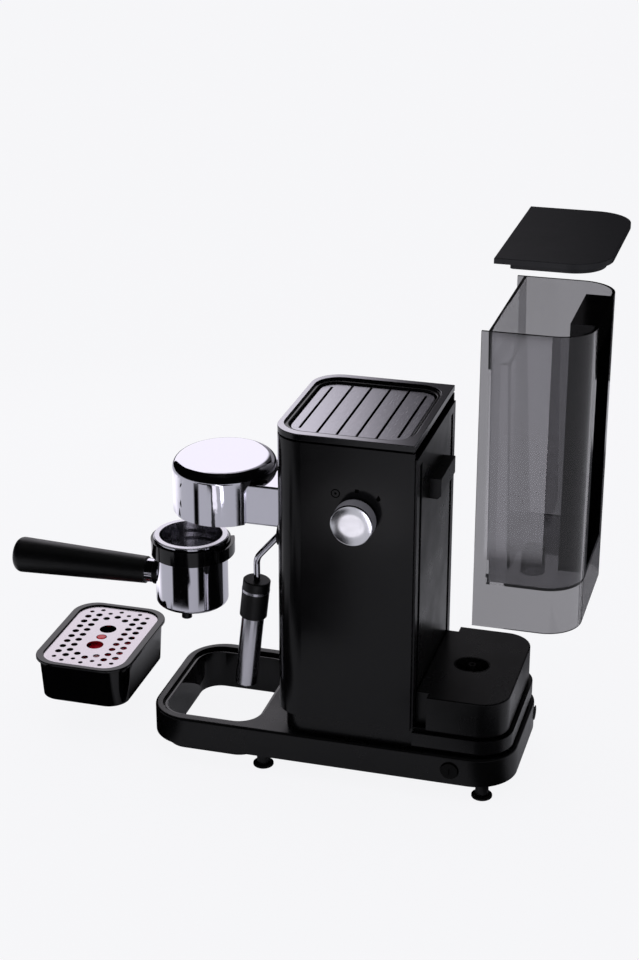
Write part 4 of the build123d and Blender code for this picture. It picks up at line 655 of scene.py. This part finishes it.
def floor_sector(name, centre, angles, reaches, shade, strength=1.0, soft=0.15):
    """Like floor_patch, but a piece of a ring around a point; the angles are in degrees from +X."""
    def spot(u, v):
        angle = math.radians(angles[0] + (angles[1] - angles[0]) * u)
        reach = reaches[0] + (reaches[1] - reaches[0]) * v
        return centre[0] + reach * math.cos(angle), centre[1] + reach * math.sin(angle)

    patch_of_floor(name, spot, soft, shade, strength)


def patch_of_floor(name, spot, soft, shade, strength):
    """A floor patch lying a hair above the floor and the patches before it; its edges fade out."""
    earlier = sum(obj.name.startswith("floor_") for obj in bpy.data.objects)
    lift = 0.0004 + 0.0001 * earlier
    across = PATCH_STEPS + 1
    points = []
    weights = []
    for row in range(across):
        for column in range(across):
            u = column / PATCH_STEPS
            v = row / PATCH_STEPS
            points.append((*spot(u, v), lift))
            edge = min(1.0, min(u, v, 1 - u, 1 - v) / soft)
            weights.append(edge * edge * (3 - 2 * edge))
    faces = []
    for row in range(PATCH_STEPS):
        for column in range(PATCH_STEPS):
            start = row * across + column
            faces.append((start, start + 1, start + across + 1, start + across))
    patch = sheet_object("floor_" + name, name, points, faces)
    fade = patch.data.attributes.new("fade", "FLOAT", "POINT")
    fade.data.foreach_set("value", weights)
    bpy.context.scene.collection.objects.link(patch)
    material, tree, light = glow_material(name, shade, strength)
    weight = add(tree, "ShaderNodeAttribute", {"attribute_name": "fade"})
    clear = add(tree, "ShaderNodeBsdfTransparent")
    mix = add(tree, "ShaderNodeMixShader",
              links={0: (weight, "Fac"), 1: (clear, "BSDF"), 2: (light, "Emission")})
    add(tree, "ShaderNodeOutputMaterial", links={"Surface": (mix, "Shader")})
    patch.data.materials.append(material)
    only_reflected(patch)


def scrim(name, x, y_span, z_span, full_until, dark_after, radiance):
    """A lit scrim on the far side: even at the front, fading out towards the rear."""
    corners = [(x, y_span[0], z_span[0]), (x, y_span[1], z_span[0]),
               (x, y_span[1], z_span[1]), (x, y_span[0], z_span[1])]
    cloth = sheet_object(name, name, corners, [(0, 1, 2, 3)])
    bpy.context.scene.collection.objects.link(cloth)
    material, tree, light = glow_material(name, "#fbf7ff")
    add(tree, "ShaderNodeOutputMaterial", links={"Surface": (light, "Emission")})
    place = add(tree, "ShaderNodeTexCoord")
    parts = add(tree, "ShaderNodeSeparateXYZ", links={"Vector": (place, "Object")})
    fading = {"interpolation_type": "SMOOTHSTEP", "From Min": full_until, "From Max": dark_after,
              "To Min": radiance, "To Max": 0.04}
    fade = add(tree, "ShaderNodeMapRange", fading, {"Value": (parts, "Y")})
    join(tree, fade, "Result", light, "Strength")
    cloth.data.materials.append(material)
    only_reflected(cloth)


def studio_light():
    """Two soft lamps, and cards, scrims and floor patches that only reflections see.

    The patches are placed for the main camera, so other views reflect them elsewhere.
    """
    softbox("lamp_overhead", (0.1, -0.1, 1.9), (0, -0.05, 0.2), 0.9, 0.9, 0.9)
    far = softbox("lamp_far_side", (-0.75, -0.52, 0.52), (0, -0.2, 0.2), 0.55, 0.62, 0.8)
    far.visible_glossy = False
    scrim("scrim_far_side", -0.75, (-0.95, 0.05), (0.22, 1.15), -0.33, -0.13, 1.2)
    black_card("card_far_side", (-0.95, 0.1, 0.72), (0, 0.1, 0.72), 3.6, 1.4)
    black_card("card_front", (0.3, -1.5, 0.75), (0.3, 0, 0.75), 3.6, 1.4)
    black_card("card_rear", (0.3, 1.5, 0.75), (0.3, 0, 0.75), 3.6, 1.4)
    black_card("card_near_side", (1.95, 0.0, 0.75), (0, 0.0, 0.75), 3.6, 1.4)
    black_card("card_above", (0.5, 0.0, 1.5), (0.5001, 0, 0), 3.2, 3.6)
    scrim("scrim_low", -0.70, (-0.30, 0.45), (0.30, 0.50), 0.0, 0.5, 0.24)
    scrim("scrim_high", -0.70, (-0.45, 0.25), (0.74, 0.98), -0.25, 0.15, 0.30)
    # what the column's side sees: dark in front, pale behind
    floor_patch("low_column", [(0.335, -0.40), (0.46, -0.43), (0.46, -0.115), (0.335, -0.08)],
                DARK, soft=0.08)
    floor_patch("gap_column", [(0.43, -0.225), (0.64, -0.247), (0.64, -0.165), (0.43, -0.107)],
                "#2c2c2e", soft=0.15)
    floor_patch("mid_column", [(0.62, -0.90), (0.77, -0.90), (0.77, -0.197), (0.62, -0.157)],
                DARK, soft=0.05)
    floor_patch("high_column", [(0.74, -0.90), (1.20, -0.90), (1.20, -0.314), (0.74, -0.189)],
                DARK, soft=0.05)
    # what the basket holder and the cap see, around their own axes
    bowl = (0.0, -0.18)
    cap = (0.0, -0.147)
    floor_sector("before_bowl", bowl, (-44, 9), (0.285, 0.415), DARK, soft=0.06)
    floor_sector("beside_bowl", bowl, (34, 85), (0.285, 0.46), DARK, soft=0.12)
    floor_sector("beside_cap", cap, (44, 85), (0.48, 0.66), DARK, soft=0.22)
    floor_sector("line_on_cap", cap, (-54, -36), (0.44, 0.70), DARK, soft=0.3)
    floor_sector("glow_bowl", bowl, (-170, -84), (0.27, 0.43), "#fbf8ff", 1.45, soft=0.3)
    floor_sector("glow_cap", cap, (-170, -92), (0.48, 0.66), "#fbf8ff", 1.3, soft=0.35)
    # what the tray and the lower half of the handle see
    floor_patch("under_handle", [(-0.14, -0.46), (0.205, -0.40), (0.205, -0.19), (-0.14, -0.19)],
                DARK, soft=0.08)
    # what the tank sees: a bright panel for its flat side, dark beyond its corner
    floor_patch("before_tank", [(0.56, 0.003), (1.32, -0.14), (1.32, -0.042), (0.56, 0.073)],
                "#f6f4ff", 4.0, soft=0.06)
    floor_patch("beside_tank", [(0.66, 0.054), (1.35, -0.05), (1.35, 0.50), (0.66, 0.50)],
                DARK, soft=0.03)
    # what the knob's face sees
    floor_patch("before_knob", [(0.57, -0.195), (0.71, -0.23), (0.71, -0.115), (0.57, -0.08)],
                "#fbf8ff", 1.2, soft=0.12)
    # a dim stretch of floor on the far side, behind the column
    floor_patch("behind_column", [(-0.80, 0.12), (-0.12, 0.12), (-0.12, 0.45), (-0.80, 0.45)],
                "#3c3c40", soft=0.1)


def photographer_camera():
    """The camera, three quarters from the rear of the machine's right side, looking down a little."""
    data = bpy.data.cameras.new("camera")
    data.lens = 75.6
    data.sensor_width = 36
    data.clip_start = 0.05
    data.clip_end = 50
    azimuth = math.radians(105.8)
    down = math.radians(22.8)
    look = Vector((-math.sin(azimuth) * math.cos(down), math.cos(azimuth) * math.cos(down), -math.sin(down)))
    place = Vector((1.52225, 0.36796, 0.91589))
    camera = aimed(bpy.data.objects.new("camera", data), place, place + look)
    bpy.context.scene.camera = camera


studio_world()
pale_floor()
studio_light()
photographer_camera()
bpy.context.scene.view_settings.view_transform = "Standard"
bpy.context.scene.cycles.max_bounces = 16
bpy.context.scene.cycles.transmission_bounces = 14
bpy.context.scene.cycles.transparent_max_bounces = 16
